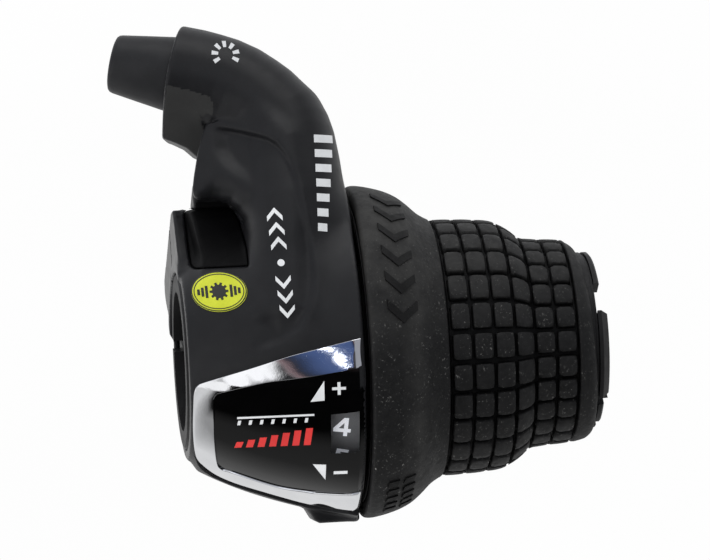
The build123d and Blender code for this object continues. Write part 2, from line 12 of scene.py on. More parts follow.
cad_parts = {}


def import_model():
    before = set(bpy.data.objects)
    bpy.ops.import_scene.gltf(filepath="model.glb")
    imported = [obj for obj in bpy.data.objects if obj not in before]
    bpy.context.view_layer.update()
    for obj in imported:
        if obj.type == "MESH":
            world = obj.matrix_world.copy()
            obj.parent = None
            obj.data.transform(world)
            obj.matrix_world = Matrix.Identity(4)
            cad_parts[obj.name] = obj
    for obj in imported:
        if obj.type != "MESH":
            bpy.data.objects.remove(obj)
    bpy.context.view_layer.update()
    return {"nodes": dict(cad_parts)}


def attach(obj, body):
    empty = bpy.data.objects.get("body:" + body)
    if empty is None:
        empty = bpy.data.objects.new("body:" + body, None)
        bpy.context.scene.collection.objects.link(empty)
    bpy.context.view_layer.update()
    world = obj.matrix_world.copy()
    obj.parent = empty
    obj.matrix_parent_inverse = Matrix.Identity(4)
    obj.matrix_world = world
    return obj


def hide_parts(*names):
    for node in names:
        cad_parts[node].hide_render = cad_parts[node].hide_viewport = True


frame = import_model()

scene = bpy.context.scene
RNG = np.random.default_rng(7)

# ------------------------------------------------------------------ frame
LEAN = math.radians(25.0)
S, C = math.sin(LEAN), math.cos(LEAN)
UP = np.array([0.0, S, C])
OUT = np.array([0.0, -C, S])


def world(p):
    """Points x, u, n in mm to metres in the row frame."""
    p = np.asarray(p, dtype=np.float64)
    x, u, n = p[..., 0], p[..., 1], p[..., 2]
    return np.stack([x, u * S - n * C, u * C + n * S], axis=-1) * 0.001


def polar(x, r, phi):
    """Point at radius r, with phi in radians from n towards u."""
    return np.stack([x + 0 * phi, r * np.sin(phi), r * np.cos(phi)], axis=-1)


# ------------------------------------------------------------------ meshes
def new_mesh(name, verts, faces, smooth=True, mm=True):
    me = bpy.data.meshes.new(name)
    v = world(verts) if mm else np.asarray(verts)
    me.from_pydata([tuple(map(float, q)) for q in v], [], [tuple(int(i) for i in f) for f in faces])
    me.validate()
    me.update()
    if smooth:
        me.polygons.foreach_set("use_smooth", [True] * len(me.polygons))
    ob = bpy.data.objects.new(name, me)
    scene.collection.objects.link(ob)
    return ob


def fast_mesh(name, verts, quads):
    """Mesh of quads from arrays."""
    me = bpy.data.meshes.new(name)
    v = world(verts).astype(np.float32)
    q = np.asarray(quads, dtype=np.int32)
    me.vertices.add(len(v))
    me.vertices.foreach_set("co", v.ravel())
    me.loops.add(q.size)
    me.loops.foreach_set("vertex_index", q.ravel())
    me.polygons.add(len(q))
    me.polygons.foreach_set("loop_start", np.arange(0, q.size, q.shape[1], dtype=np.int32))
    me.polygons.foreach_set("use_smooth", np.ones(len(q), dtype=bool))
    me.update(calc_edges=True)
    me.validate()
    ob = bpy.data.objects.new(name, me)
    scene.collection.objects.link(ob)
    return ob


def tidy_normals(ob):
    bm = bmesh.new()
    bm.from_mesh(ob.data)
    bmesh.ops.recalc_face_normals(bm, faces=bm.faces)
    bm.to_mesh(ob.data)
    bm.free()


def auto_smooth(ob, deg=35.0):
    """Marks edges sharper than deg as sharp."""
    bm = bmesh.new()
    bm.from_mesh(ob.data)
    lim = math.radians(deg)
    for f in bm.faces:
        f.smooth = True
    for e in bm.edges:
        if len(e.link_faces) == 2:
            e.smooth = e.calc_face_angle(0.0) < lim
    bm.to_mesh(ob.data)
    bm.free()


def grid_faces(rows, cols, wrap=False, base=0):
    """Quads of a rows x cols lattice of points, wrapped over columns if asked."""
    r = np.arange(rows - 1)[:, None]
    c = np.arange(cols if wrap else cols - 1)[None, :]
    c2 = (c + 1) % cols
    a = r * cols + c
    b = r * cols + c2
    d = (r + 1) * cols + c
    e = (r + 1) * cols + c2
    return np.stack([a, b, e, d], axis=-1).reshape(-1, 4) + base


def lathe(name, profile, turns=160):
    """Closed ring from a closed x, radius outline about the bar axis."""
    prof = np.asarray(profile, dtype=float)
    th = np.linspace(0, 2 * np.pi, turns, endpoint=False)
    pts = np.stack([
        np.repeat(prof[:, 0:1], turns, 1),
        prof[:, 1:2] * np.sin(th)[None, :],
        prof[:, 1:2] * np.cos(th)[None, :],
    ], axis=-1)
    k = len(prof)
    faces = []
    f = grid_faces(k, turns, wrap=True)
    last = (k - 1) * turns
    c = np.arange(turns)
    c2 = (c + 1) % turns
    closing = np.stack([last + c, last + c2, c2, c], axis=-1)
    ob = fast_mesh(name, pts.reshape(-1, 3), np.concatenate([f, closing]))
    tidy_normals(ob)
    return ob


# ------------------------------------------------------------------ distance fields
def smin(a, b, k):
    h = np.clip(0.5 + 0.5 * (b - a) / k, 0.0, 1.0)
    return b + (a - b) * h - k * h * (1.0 - h)


def smax(a, b, k):
    return -smin(-a, -b, k)


def sstep(a, b, x):
    t = np.clip((x - a) / (b - a), 0.0, 1.0)
    return t * t * (3 - 2 * t)


def sd_poly(px, py, pts):
    """Signed distance to a closed polygon, negative inside."""
    pts = np.asarray(pts, dtype=float)
    d = np.full(np.shape(px), 1e9)
    s = np.ones(np.shape(px))
    m = len(pts)
    for i in range(m):
        ax, ay = pts[i]
        bx, by = pts[i - 1]
        ex, ey = bx - ax, by - ay
        wx, wy = px - ax, py - ay
        t = np.clip((wx * ex + wy * ey) / (ex * ex + ey * ey), 0, 1)
        qx, qy = wx - ex * t, wy - ey * t
        d = np.minimum(d, qx * qx + qy * qy)
        c1 = py >= ay
        c2 = py < by
        c3 = ex * wy > ey * wx
        flip = (c1 & c2 & c3) | (~c1 & ~c2 & ~c3)
        s = np.where(flip, -s, s)
    return s * np.sqrt(d)


def sd_path(px, py, pz, pts):
    """Distance to a polyline in space."""
    pts = np.asarray(pts, dtype=float)
    best = np.full(np.shape(px), 1e9)
    for a, b in zip(pts[:-1], pts[1:]):
        e = b - a
        wx, wy, wz = px - a[0], py - a[1], pz - a[2]
        t = np.clip((wx * e[0] + wy * e[1] + wz * e[2]) / (e @ e), 0, 1)
        best = np.minimum(best, (wx - e[0] * t) ** 2 + (wy - e[1] * t) ** 2 + (wz - e[2] * t) ** 2)
    return np.sqrt(best)


def rect(px, py, x0, x1, y0, y1, r):
    qx = np.abs(px - (x0 + x1) / 2) - (x1 - x0) / 2 + r
    qy = np.abs(py - (y0 + y1) / 2) - (y1 - y0) / 2 + r
    return np.hypot(np.maximum(qx, 0), np.maximum(qy, 0)) + np.minimum(np.maximum(qx, qy), 0) - r


def surface_net(field, lo, hi, h):
    """Quad mesh of field(x, u, n) = 0, its points then drawn on to the surface."""
    ax = [np.arange(lo[i], hi[i] + h, h) for i in range(3)]
    X, Y, Z = np.meshgrid(*ax, indexing="ij")
    F = field(X, Y, Z).astype(np.float64)
    inside = F < 0
    nx, ny, nz = F.shape
    cs = [(i, j, k) for i in (0, 1) for j in (0, 1) for k in (0, 1)]
    cnt = np.zeros((nx - 1, ny - 1, nz - 1), dtype=np.int8)
    for i, j, k in cs:
        cnt += inside[i:nx - 1 + i, j:ny - 1 + j, k:nz - 1 + k]
    active = (cnt > 0) & (cnt < 8)
    ids = np.full(active.shape, -1, dtype=np.int64)
    idx = np.argwhere(active)
    ids[active] = np.arange(len(idx))
    # mean of the edge crossings in each cell
    acc = np.zeros((len(idx), 3))
    num = np.zeros(len(idx))
    corner = {c: F[idx[:, 0] + c[0], idx[:, 1] + c[1], idx[:, 2] + c[2]] for c in cs}
    for c in cs:
        for axis in range(3):
            if c[axis]:
                continue
            d = list(c)
            d[axis] = 1
            d = tuple(d)
            fa, fb = corner[c], corner[d]
            cross = (fa < 0) != (fb < 0)
            t = np.where(cross, fa / np.where(cross, fa - fb, 1.0), 0.0)
            p = np.tile(np.array(c, dtype=float), (len(idx), 1))
            p[:, axis] += t
            acc += p * cross[:, None]
            num += cross
    P = (idx + acc / num[:, None]) * h + np.array(lo)
    quads = []
    for axis in range(3):
        a = inside
        sl0 = [slice(None)] * 3
        sl1 = [slice(None)] * 3
        sl0[axis] = slice(0, -1)
        sl1[axis] = slice(1, None)
        A, B = a[tuple(sl0)], a[tuple(sl1)]
        ch = np.argwhere(A != B)
        o1, o2 = [q for q in range(3) if q != axis]
        ok = (ch[:, o1] > 0) & (ch[:, o2] > 0) & (ch[:, o1] < F.shape[o1] - 1) & (ch[:, o2] < F.shape[o2] - 1)
        ch = ch[ok]
        def cell(d1, d2):
            q = ch.copy()
            q[:, o1] -= d1
            q[:, o2] -= d2
            return ids[q[:, 0], q[:, 1], q[:, 2]]
        quad = np.stack([cell(1, 1), cell(0, 1), cell(0, 0), cell(1, 0)], axis=-1)
        flip = A[ch[:, 0], ch[:, 1], ch[:, 2]]
        if axis == 1:
            flip = ~flip
        quad[~flip] = quad[~flip][:, ::-1]
        quads.append(quad)
    Q = np.concatenate(quads)
    Q = Q[(Q >= 0).all(axis=1)]
    e = 0.02
    for _ in range(4):
        f0 = field(P[:, 0], P[:, 1], P[:, 2])
        g = np.stack([
            field(P[:, 0] + e, P[:, 1], P[:, 2]) - field(P[:, 0] - e, P[:, 1], P[:, 2]),
            field(P[:, 0], P[:, 1] + e, P[:, 2]) - field(P[:, 0], P[:, 1] - e, P[:, 2]),
            field(P[:, 0], P[:, 1], P[:, 2] + e) - field(P[:, 0], P[:, 1], P[:, 2] - e),
        ], axis=-1) / (2 * e)
        gg = np.maximum((g * g).sum(1), 0.15)
        step = (f0 / gg)[:, None] * g
        ln = np.linalg.norm(step, axis=1)
        lim = 0.45 * h
        step *= np.minimum(1.0, lim / np.maximum(ln, 1e-9))[:, None]
        P = P - step
    return P, Q


# ------------------------------------------------------------------ housing shape
BELL = np.array([(0.4, 15.9), (4.5, 18.0), (7.8, 19.9), (12.2, 21.5), (17.8, 23.3), (21.2, 24.3), (27.2, 25.9)])
BELL_FIT = np.polyfit(BELL[:, 0], BELL[:, 1], 3)
X_IN, X_RIM = 0.3, 27.2
WALL = 1.8


def bell_r(x):
    return np.polyval(BELL_FIT, x)


HUMP = [(14.3, 6.0), (23.2, -1.6), (24.3, -3.0), (23.9, -5.4), (16.9, -14.6), (13.3, -19.4), (11.0, -19.8), (9.2, -18.4), (7.2, -15.8),
        (3.0, -13.0), (3.0, 8.0)]
ARM_U, ARM_N = 7.6, 16.3
# middle of the cable arm's tube: x, v, m in the arm's own plane
TUBE = [(19.8, -4.0, -9.0), (19.8, 2.0, -5.5), (19.7, 8.0, -2.6), (19.6, 14.0, -0.7), (19.4, 18.0, -0.1),
        (19.3, 21.4, 0.0), (19.1, 24.6, 0.0), (18.7, 28.8, 0.0), (18.3, 30.6, 0.0), (17.6, 32.4, 0.0),
        (16.1, 34.2, 0.0), (14.9, 35.7, 0.0), (13.4, 37.1, 0.0), (11.4, 38.75, 0.0), (9.1, 40.1, 0.0),
        (6.9, 41.0, 0.0), (4.8, 41.75, 0.0), (1.7, 42.6, 0.0), (-8.0, 45.4, 0.0)]
TUBE_R = 7.8
STOP_AT = np.array([1.45, ARM_U + C * 42.5, ARM_N - S * 42.5])
STOP_DIR = np.array([-0.952, 0.234, -0.199])
STOP_DIR = STOP_DIR / np.linalg.norm(STOP_DIR)
PLATE = [(5.9, 32.2), (5.4, 31.2), (4.75, 29.2), (4.2, 27.6), (3.3, 23.7), (2.5, 19.2), (2.1, 16.8), (1.9, 10.0), (2.4, -2.0), (18.0, -2.0),
         (18.0, 26.5), (14.5, 30.3), (12.0, 31.6), (9.0, 32.2)]
# the webbed corner under the tube and the recess over the cap, outlines in x, u
GUSSET = [(-1.2, 35.95), (-0.8, 35.85), (1.2, 35.0), (2.95, 34.1), (4.45, 32.7), (6.6, 31.6), (6.4, 36.0), (5.6, 38.0), (3.4, 41.2), (-1.2, 43.0)]
POCKET = [(-8.0, 4.0), (-8.0, 25.3), (7.0, 25.3), (8.6, 24.9), (9.9, 23.7), (10.7, 22.0), (11.0, 19.5), (11.0, 17.0), (10.85, 14.5),
          (10.4, 12.0), (9.4, 9.0), (8.0, 6.0), (6.5, 4.0)]
NECK_X = [0.0, 4.0, 6.0, 8.0, 10.0, 12.0, 14.0, 16.0, 17.5, 19.0, 22.0, 30.0]
NECK_M = [0.4, 1.95, 2.65, 3.45, 4.35, 5.3, 6.22, 7.05, 7.45, 7.65, 7.7, 7.7]
HUMP_IN = [(12.0, 11.0), (15.6, 9.2), (22.6, 3.4), (24.0, 1.8), (24.5, -0.5), (24.2, -3.4), (22.6, -5.2), (14.1, -14.5), (6.0, -11.0), (6.0, 8.0)]
SCOOP = [(-12, 30), (-12, -3.4), (0.0, -3.2), (0.9, -2.72), (3.05, -1.37), (8.28, -0.19), (11.2, 0.45), (13.95, 1.32),
         (15.8, 2.2), (17.18, 3.33), (18.4, 5.2), (19.27, 7.5), (20.0, 10.8), (20.8, 15.36), (21.4, 20.0), (21.6, 30)]
# the web is set back from the tube inside this line
DISH = [(4.6, 37.75), (5.82, 37.54), (7.94, 37.12), (10.93, 36.34), (13.25, 35.59), (15.14, 34.89), (16.29, 34.01), (17.18, 32.83),
        (17.92, 31.51), (18.46, 30.2), (19.0, 27.78), (19.42, 24.8), (20.04, 21.0), (20.47, 16.85), (20.4, 12.37), (19.93, 9.4),
        (18.99, 6.84), (17.41, 4.33), (14.75, 2.6), (11.0, 1.2), (4.0, 0.5)]
SILL_X = [0.0, 0.85, 1.86, 4.27, 7.49, 11.86, 17.45, 20.77, 25.39, 28.0]
SILL_PHI = [-55.0, -60.0, -71.0, -80.5, -81.0, -79.0, -81.0, -80.5, -76.0, -76.0]
LIP = [(18.2, -23.0), (20.2, -26.6), (21.0, -27.1), (27.1, -27.1), (27.5, -26.7), (27.5, -18.0), (18.2, -18.0)]
SCREWS = [(23.7, -24.9, -5.2), (22.5, 25.8, -12.2)]
GUIDE = [(14.5, 6.0, 0.0), (14.5, 31.5, 0.0), (13.9, 34.2, 0.0), (12.6, 36.5, 0.0), (10.7, 38.3, 0.0),
         (8.3, 39.7, 0.0), (4.0, 41.4, 0.0)]


def arm_coords(u, n):
    du, dn = u - ARM_U, n - ARM_N
    return du * C - dn * S, du * S + dn * C


def f_bell(x, u, n):
    r = np.hypot(u, n)
    xs = np.clip(x, -1.0, 29.0)
    d = (r - bell_r(xs)) * 0.93
    scoop = sd_poly(x, u, SCOOP)
    d = d + 0.35 * sstep(1.0, -2.2, scoop) * sstep(2.0, 8.0, n)
    # sill that closes the bezel's lower edge
    phi = np.degrees(np.arctan2(u, n))
    edge = np.interp(x, SILL_X, SILL_PHI)
    d = d - 0.85 * sstep(edge - 0.4, edge - 1.6, phi) * sstep(-135.0, -112.0, phi) * sstep(0.8, 2.2, x)
    d = smax(d, X_IN - x, 0.5)
    return smax(d, x - X_RIM, 0.7)


def f_hump(x, u, n):
    d = sd_poly(u, n, HUMP)
    d = smax(d, X_IN - 0.042 * np.clip(-n - 2.0, 0, 18) - x, 0.4)
    d = smax(d, x - 12.5, 0.8)
    # the shoulder swells behind its inboard edge, under the cap
    e = smax(sd_poly(u, n, HUMP_IN), (2.1 - x) + 0.16 * (n + 2.0), 0.6)
    e = smax(e, x - 12.5, 0.8)
    d = smin(d, e, 0.6)
    back = smax(rect(x - 0.15 * np.clip(u - 25.0, 0, 4), u, 3.5, 13.0, 20.0, 28.0, 0.3), np.maximum(n - 1.4, -6.0 - n), 0.4)
    return smin(d, back, 0.5)


def f_boss(x, u, n):
    """Screw bosses of the two halves, below and behind the top."""
    low = smax(sd_poly(x, u, LIP), np.maximum(n - 2.6, -6.7 - n), 0.9)
    high = smax(np.hypot(x - 22.5, u - 25.8) - 3.0, np.maximum(n - 1.4, -13.6 - n), 0.8)
    return np.minimum(low, high)


def f_arm(x, u, n):
    v, m = arm_coords(u, n)
    tube = sd_path(x, v, m, TUBE) - TUBE_R
    # flat web between the tube and the housing, running out on the bell
    front = np.interp(x, NECK_X, NECK_M) - (0.05 + 0.0035 * np.clip(x - 11.0, 0, 8)) * np.maximum(0, 29.0 - v)
    front = front - 0.09 * np.clip((11.0 - x) / 4.0, 0, 1) * np.maximum(0, 16.0 - v)
    plate = smax(sd_poly(x, v, PLATE), np.maximum((m - front) * 0.93, -7.0 - m), 0.4 + 1.3 * sstep(8.0, 13.0, x))
    # the opening over the cap
    pocket = smax(sd_poly(x, u, POCKET), -1.0 - n, 1.0)
    plate = smax(plate, -pocket, 2.6 + 2.6 * sstep(3.5, 6.5, x))
    k = 0.5 + 2.8 * sstep(10.0, 15.0, x) + 2.0 * sstep(20.0, 10.0, v)
    d = smin(tube, plate, k)
    facet = -0.228 * x - 0.523 * u + 0.822 * n + 18.36
    gus = smax(sd_poly(x, u, GUSSET), np.maximum(facet, -8.0 - n), 0.4)
    d = smin(d, gus, 0.2)
    end = (x - STOP_AT[0]) * STOP_DIR[0] + (u - STOP_AT[1]) * STOP_DIR[1] + (n - STOP_AT[2]) * STOP_DIR[2]
    d = smax(d, end, 0.6)
    d = smax(d, -0.95 - x, 0.5)
    return d


def f_body(x, u, n):
    d = smin(f_bell(x, u, n), f_hump(x, u, n), 1.6)
    return smin(d, f_boss(x, u, n), 1.0)


def f_outer(x, u, n):
    """Whole outside of the housing, before openings and the parting."""
    d = smin(f_body(x, u, n), f_arm(x, u, n), 1.0 + 2.8 * sstep(8.5, 15.0, x))
    top = sstep(26.0, 34.0, u)
    deep = (0.65 + 0.45 * top) * sstep(9.5 - 3.4 * top, 14.0 - 4.5 * top, x) * sstep(-1.0, 3.0, n)
    d = d + deep * sstep(0.45 - 0.2 * top, -1.0 + 0.3 * top, sd_poly(x, u, DISH))
    return smax(d, x - X_RIM - 0.1, 0.7)


def f_cavity(x, u, n):
    r = np.hypot(u, n)
    inner = np.where(x < 2.4, 14.3, bell_r(np.clip(x, 0, 28)) - WALL)
    return np.maximum(r - inner, -3.0 - x)


CAP = (2.1, 14.0, 14.6, 24.3)


def f_cap_rect(x, u, grow):
    d = rect(x, u, CAP[0] - grow, CAP[1] + grow, CAP[2] - grow, CAP[3] + grow, 0.9)
    return np.maximum(d, sd_poly(x, u, POCKET) + 0.15 - grow)


def f_split(u, n):
    return -(n + 0.192 * u + 4.0) / math.hypot(1, 0.192)


def f_screw_holes(x, u, n):
    d = None
    for sx, su, seat in SCREWS:
        c = np.maximum(np.hypot(x - sx, u - su) - 2.2, n - seat)
        d = c if d is None else np.minimum(d, c)
    return d


def f_front(x, u, n):
    base = f_outer(x, u, n)
    d = base
    cut = np.maximum(np.maximum(f_cap_rect(x, u, 0.0), -(base + 0.75)), -6.0 - n)
    d = smax(d, -cut, 0.3)
    d = smax(d, -f_cavity(x, u, n), 0.3)
    # opening under the number window
    win = np.maximum(rect(x, u, 20.9, 26.5, -16.4, -8.5, 0.4), 4.0 - n)
    d = smax(d, -win, 0.2)
    # cable channel and socket of the casing stop
    v, m = arm_coords(u, n)
    d = smax(d, 1.75 - sd_path(x, v, m, GUIDE), 0.2)
    px, pu, pn = x - STOP_AT[0], u - STOP_AT[1], n - STOP_AT[2]
    t = px * STOP_DIR[0] + pu * STOP_DIR[1] + pn * STOP_DIR[2]
    rad = np.sqrt(np.maximum(px * px + pu * pu + pn * pn - t * t, 0))
    d = smax(d, -np.maximum(rad - 3.5, np.maximum(t - 3, -6.2 - t)), 0.2)
    return smax(d, f_split(u, n) + 0.06, 0.25)


TILT = math.radians(12.0)


def f_rear(x, u, n):
    base = f_body(x, u, n)
    d = smax(base, -f_cavity(x, u, n), 0.3)
    # room for the clamp ears, the bolt and the nut
    eu, en = u * math.cos(TILT) + n * math.sin(TILT), n * math.cos(TILT) - u * math.sin(TILT)
    ears = np.maximum(rect(x, eu, 1.3, 9.2, -14.4, 13.8, 0.6), en + 8.5)
    d = smax(d, -ears, 0.4)
    d = smax(d, -f_screw_holes(x, u, n), 0.3)
    a = math.radians(130.0)
    t = u * math.sin(a) + n * math.cos(a)
    w = u * math.cos(a) - n * math.sin(a)
    hole = np.maximum(np.hypot(x - 18.55, w) - 1.95, 22.6 - t)
    d = smax(d, -hole, 0.3)
    return smax(d, -f_split(u, n) + 0.06, 0.25)


def f_cap(x, u, n):
    base = f_outer(x, u, n)
    d = smax(f_cap_rect(x, u, -0.13 + 0.11 * sstep(22.2, 23.6, u)), base + 0.12, 0.35)
    return np.maximum(np.maximum(d, -(base + 0.7)), -5.6 - n)


def grad(field, p, e=0.02):
    x, u, n = p[..., 0], p[..., 1], p[..., 2]
    g = np.stack([
        field(x + e, u, n) - field(x - e, u, n),
        field(x, u + e, n) - field(x, u - e, n),
        field(x, u, n + e) - field(x, u, n - e),
    ], axis=-1)
    return g / np.maximum(np.linalg.norm(g, axis=-1, keepdims=True), 1e-9)


def drop(x, u):
    """Point and outward normal where a line along n from the rider meets the housing."""
    x = np.asarray(x, dtype=float)
    u = np.asarray(u, dtype=float)
    n = np.full(x.shape, 31.0)
    for _ in range(70):
        n = n - 0.85 * f_outer(x, u, n)
    p = np.stack([x, u, n], axis=-1)
    return p, grad(f_outer, p)


P, Q = surface_net(f_front, (-2.5, -28.5, -13.0), (29.0, 56.5, 29.5), 0.36)
front_cover = fast_mesh("front_cover_shell", P, Q)
tidy_normals(front_cover)
P, Q = surface_net(f_rear, (-1.5, -28.5, -28.5), (28.5, 30.0, 3.5), 0.4)
rear_cover = fast_mesh("rear_cover_shell", P, Q)
tidy_normals(rear_cover)
P, Q = surface_net(f_cap, (1.5, 13.5, -7.0), (12.5, 25.5, 14.0), 0.22)
cap = fast_mesh("cable_hole_cover", P, Q)
tidy_normals(cap)


# ------------------------------------------------------------------ curves
def catmull(pts, per, ends=True):
    """Smooth curve through pts, per samples to each stretch."""
    pts = np.asarray(pts, dtype=float)
    p = np.vstack([2 * pts[0] - pts[1], pts, 2 * pts[-1] - pts[-2]])
    out = []
    for i in range(1, len(p) - 2):
        p0, p1, p2, p3 = p[i - 1], p[i], p[i + 1], p[i + 2]
        t = np.linspace(0, 1, per, endpoint=False)[:, None]
        out.append(0.5 * (2 * p1 + (p2 - p0) * t + (2 * p0 - 5 * p1 + 4 * p2 - p3) * t ** 2
                          + (3 * p1 - p0 - 3 * p2 + p3) * t ** 3))
    out.append(pts[-1:])
    return np.vstack(out)


def on_bell(x, u, h):
    """Point h above the bell, where (x, u) was read off a surface 0.6 above it."""
    rr = bell_r(x) + 0.6
    phi = np.arcsin(np.clip(u / rr, -1, 1))
    return polar(x, bell_r(x) + h, phi)


# ------------------------------------------------------------------ chrome bezel
BEZ_O = [(26.58, 2.6), (25.5, 2.36), (19.94, 1.2), (15.62, .28), (9.14, -1.49), (2.73, -3.17), (1.5, -3.7), (.95, -4.6),
         (.75, -6.39), (.66, -10.88), (1.05, -14.36), (1.95, -16.2), (4.27, -18.2), (7.49, -19.9), (11.86, -21.5),
         (17.45, -23.45), (20.77, -24.45), (25.2, -25.2), (26.0, -25.1), (26.4, -24.6)]
BEZ_I = [(26.4, -2.05), (25.3, -2.3), (19.77, -3.01), (15.5, -3.4), (11.21, -3.79), (4.82, -5.04), (4.2, -5.3),
         (3.85, -5.8), (3.72, -6.54), (3.75, -9.3), (3.82, -12.16), (4.31, -15.88), (5.09, -17.33), (7.18, -18.19),
         (13.74, -20.66), (18.5, -21.7), (20.19, -21.94), (24.45, -22.34), (26.0, -22.2), (26.5, -22.0)]
BEZ_SEC = [(0, -1.3), (0, 0.50), (0.006, 0.57), (0.018, 0.604), (0.1, 0.61), (0.3, 0.61), (0.5, 0.61), (0.7, 0.61), (0.9, 0.61),
           (0.978, 0.604), (0.993, 0.57), (1.0, 0.50), (1.0, 0.24), (1.0, -1.1)]
bo, bi = catmull(BEZ_O, 14), catmull(BEZ_I, 14)
rows = []
for s, h in BEZ_SEC:
    q = (1 - s) * bo + s * bi
    # bevelled upper right end
    bev = np.where(np.arange(len(q)) < 15, np.clip((q[:, 0] - 25.45) / 1.08, 0, 1), 0.0)
    flat = 4 * s * (1 - s) * (bo[:, 1] - bi[:, 1]) ** 2 / 200.0
    rows.append(on_bell(q[:, 0], q[:, 1], h - (0.62 * bev + flat if h > 0 else 0.0)))
B = np.array(rows)  # section, along, xyz
ks, ka = B.shape[:2]
faces = [tuple(f) for f in grid_faces(ks, ka)]
last = (ks - 1) * ka
for j in range(ka - 1):
    faces.append((last + j, last + j + 1, j + 1, j))
faces.append(tuple(i * ka for i in range(ks)))
faces.append(tuple(i * ka + ka - 1 for i in reversed(range(ks))))
bezel = new_mesh("bezel_frame", B.reshape(-1, 3), faces)
tidy_normals(bezel)
auto_smooth(bezel, 26)

# ------------------------------------------------------------------ lens
top_i = bi[: 8 * 14 + 1]
bot_i = bi[9 * 14:]
lens_x = np.unique(np.concatenate([np.linspace(3.5, 5.2, 14), np.linspace(5.2, 21.55, 34), np.linspace(21.55, 25.9, 12),
                                   np.linspace(25.9, 26.0, 3), np.linspace(26.0, 27.0, 9)]))
ts = top_i[np.argsort(top_i[:, 0])]
bs = bot_i[np.argsort(bot_i[:, 0])]
u_top = np.interp(lens_x, ts[:, 0], ts[:, 1]) + 0.25
u_bot = np.interp(lens_x, bs[:, 0], bs[:, 1]) - 0.25
F0, F1 = 0.344, 0.659
tl = np.concatenate([np.linspace(0, F0, 13)[:-1], np.linspace(F0, F1, 13)[:-1], np.linspace(F1, 1, 13)])
LX = np.repeat(lens_x[:, None], len(tl), 1)
LU = u_bot[:, None] + (u_top - u_bot)[:, None] * tl[None, :]


def lens_h(x):
    return 0.30 - 0.56 * np.clip((x - 26.0) / 1.0, 0, 1)


top_p = on_bell(LX, LU, lens_h(LX))
bot_p = on_bell(LX, LU, -1.05 + 0 * LX)
nr, nc = LX.shape
V = np.concatenate([top_p.reshape(-1, 3), bot_p.reshape(-1, 3)])
gf = grid_faces(nr, nc)
faces = [tuple(f) for f in gf] + [tuple(f[::-1]) for f in gf + nr * nc]
N0 = nr * nc
for i in range(nr - 1):
    a, b = i * nc, (i + 1) * nc
    faces.append((a, a + N0, b + N0, b))
    a, b = i * nc + nc - 1, (i + 1) * nc + nc - 1
    faces.append((a, b, b + N0, a + N0))
for j in range(nc - 1):
    faces.append((j, j + 1, j + 1 + N0, j + N0))
    a = (nr - 1) * nc + j
    faces.append((a, a + N0, a + 1 + N0, a + 1))
lens = new_mesh("indicator_window", V, faces)
tidy_normals(lens)
auto_smooth(lens, 50)
i0, i1 = int(np.argmin(abs(lens_x - 21.55))), int(np.argmin(abs(lens_x - 25.9)))
clear = set()
for i in range(i0, i1):
    for j in range(12, 24):
        k = i * (nc - 1) + j
        clear.add(k)
for i in range(i0 - 3, i1 + 4):
    for j in range(4, 30):
        clear.add(i * (nc - 1) + j + (nr - 1) * (nc - 1))


# ------------------------------------------------------------------ marks laid on a surface
def slab(name, polys, surf, lift=0.05, sink=0.12, edge=0.6):
    """Thin closed plates with the given outlines in x, u, laid on surf(x, u) -> points, normals."""
    bm = bmesh.new()
    for poly in polys:
        vs = [bm.verts.new((float(a), float(b), 0.0)) for a, b in poly]
        bm.faces.new(vs)
    bm.normal_update()
    bmesh.ops.triangulate(bm, faces=bm.faces[:])
    for _ in range(6):
        long = [e for e in bm.edges if e.calc_length() > edge]
        if not long:
            break
        bmesh.ops.subdivide_edges(bm, edges=long, cuts=1)
        bm.normal_update()
        bmesh.ops.triangulate(bm, faces=[f for f in bm.faces if len(f.verts) > 3])
    bm.normal_update()
    bm.verts.index_update()
    xy = np.array([(v.co.x, v.co.y) for v in bm.verts])
    p, nrm = surf(xy[:, 0], xy[:, 1])
    top, bot = p + lift * nrm, p - sink * nrm
    n0 = len(xy)
    faces = []
    for f in bm.faces:
        idx = [v.index for v in f.verts]
        if f.normal.z < 0:
            idx = idx[::-1]
        faces.append(tuple(idx))
        faces.append(tuple(i + n0 for i in idx[::-1]))
    for e in bm.edges:
        if len(e.link_faces) == 1:
            a, b = e.verts[0].index, e.verts[1].index
            faces.append((a, b, b + n0, a + n0))
    bm.free()
    ob = new_mesh(name, np.concatenate([top, bot]), faces)
    tidy_normals(ob)
    auto_smooth(ob, 40)
    return ob


def surf_lens(x, u):
    p = on_bell(x, u, 0.30)
    n = p.copy()
    n[..., 0] = 0
    return p, n / np.linalg.norm(n, axis=-1, keepdims=True)


def box_poly(x0, x1, y0, y1, slant=0.0):
    return [(x0, y0), (x1, y0), (x1 + slant, y1), (x0 + slant, y1)]


def disc_poly(cx, cy, a, b, k=24):
    return [(cx + a * math.cos(2 * math.pi * i / k), cy + b * math.sin(2 * math.pi * i / k)) for i in range(k)]


white_marks = [
    # plus, minus and the two pointers beside the number
    [(22.62, -6.2), (23.08, -6.2), (23.08, -5.42), (23.9, -5.42), (23.9, -4.98), (23.08, -4.98), (23.08, -4.2),
     (22.62, -4.2), (22.62, -4.98), (21.8, -4.98), (21.8, -5.42), (22.62, -5.42)],
    box_poly(22.15, 24.25, -18.97, -18.5),
    [(20.62, -3.9), (18.45, -7.12), (20.6, -7.0)],
    [(18.9, -17.2), (20.98, -19.85), (20.92, -17.35)],
]
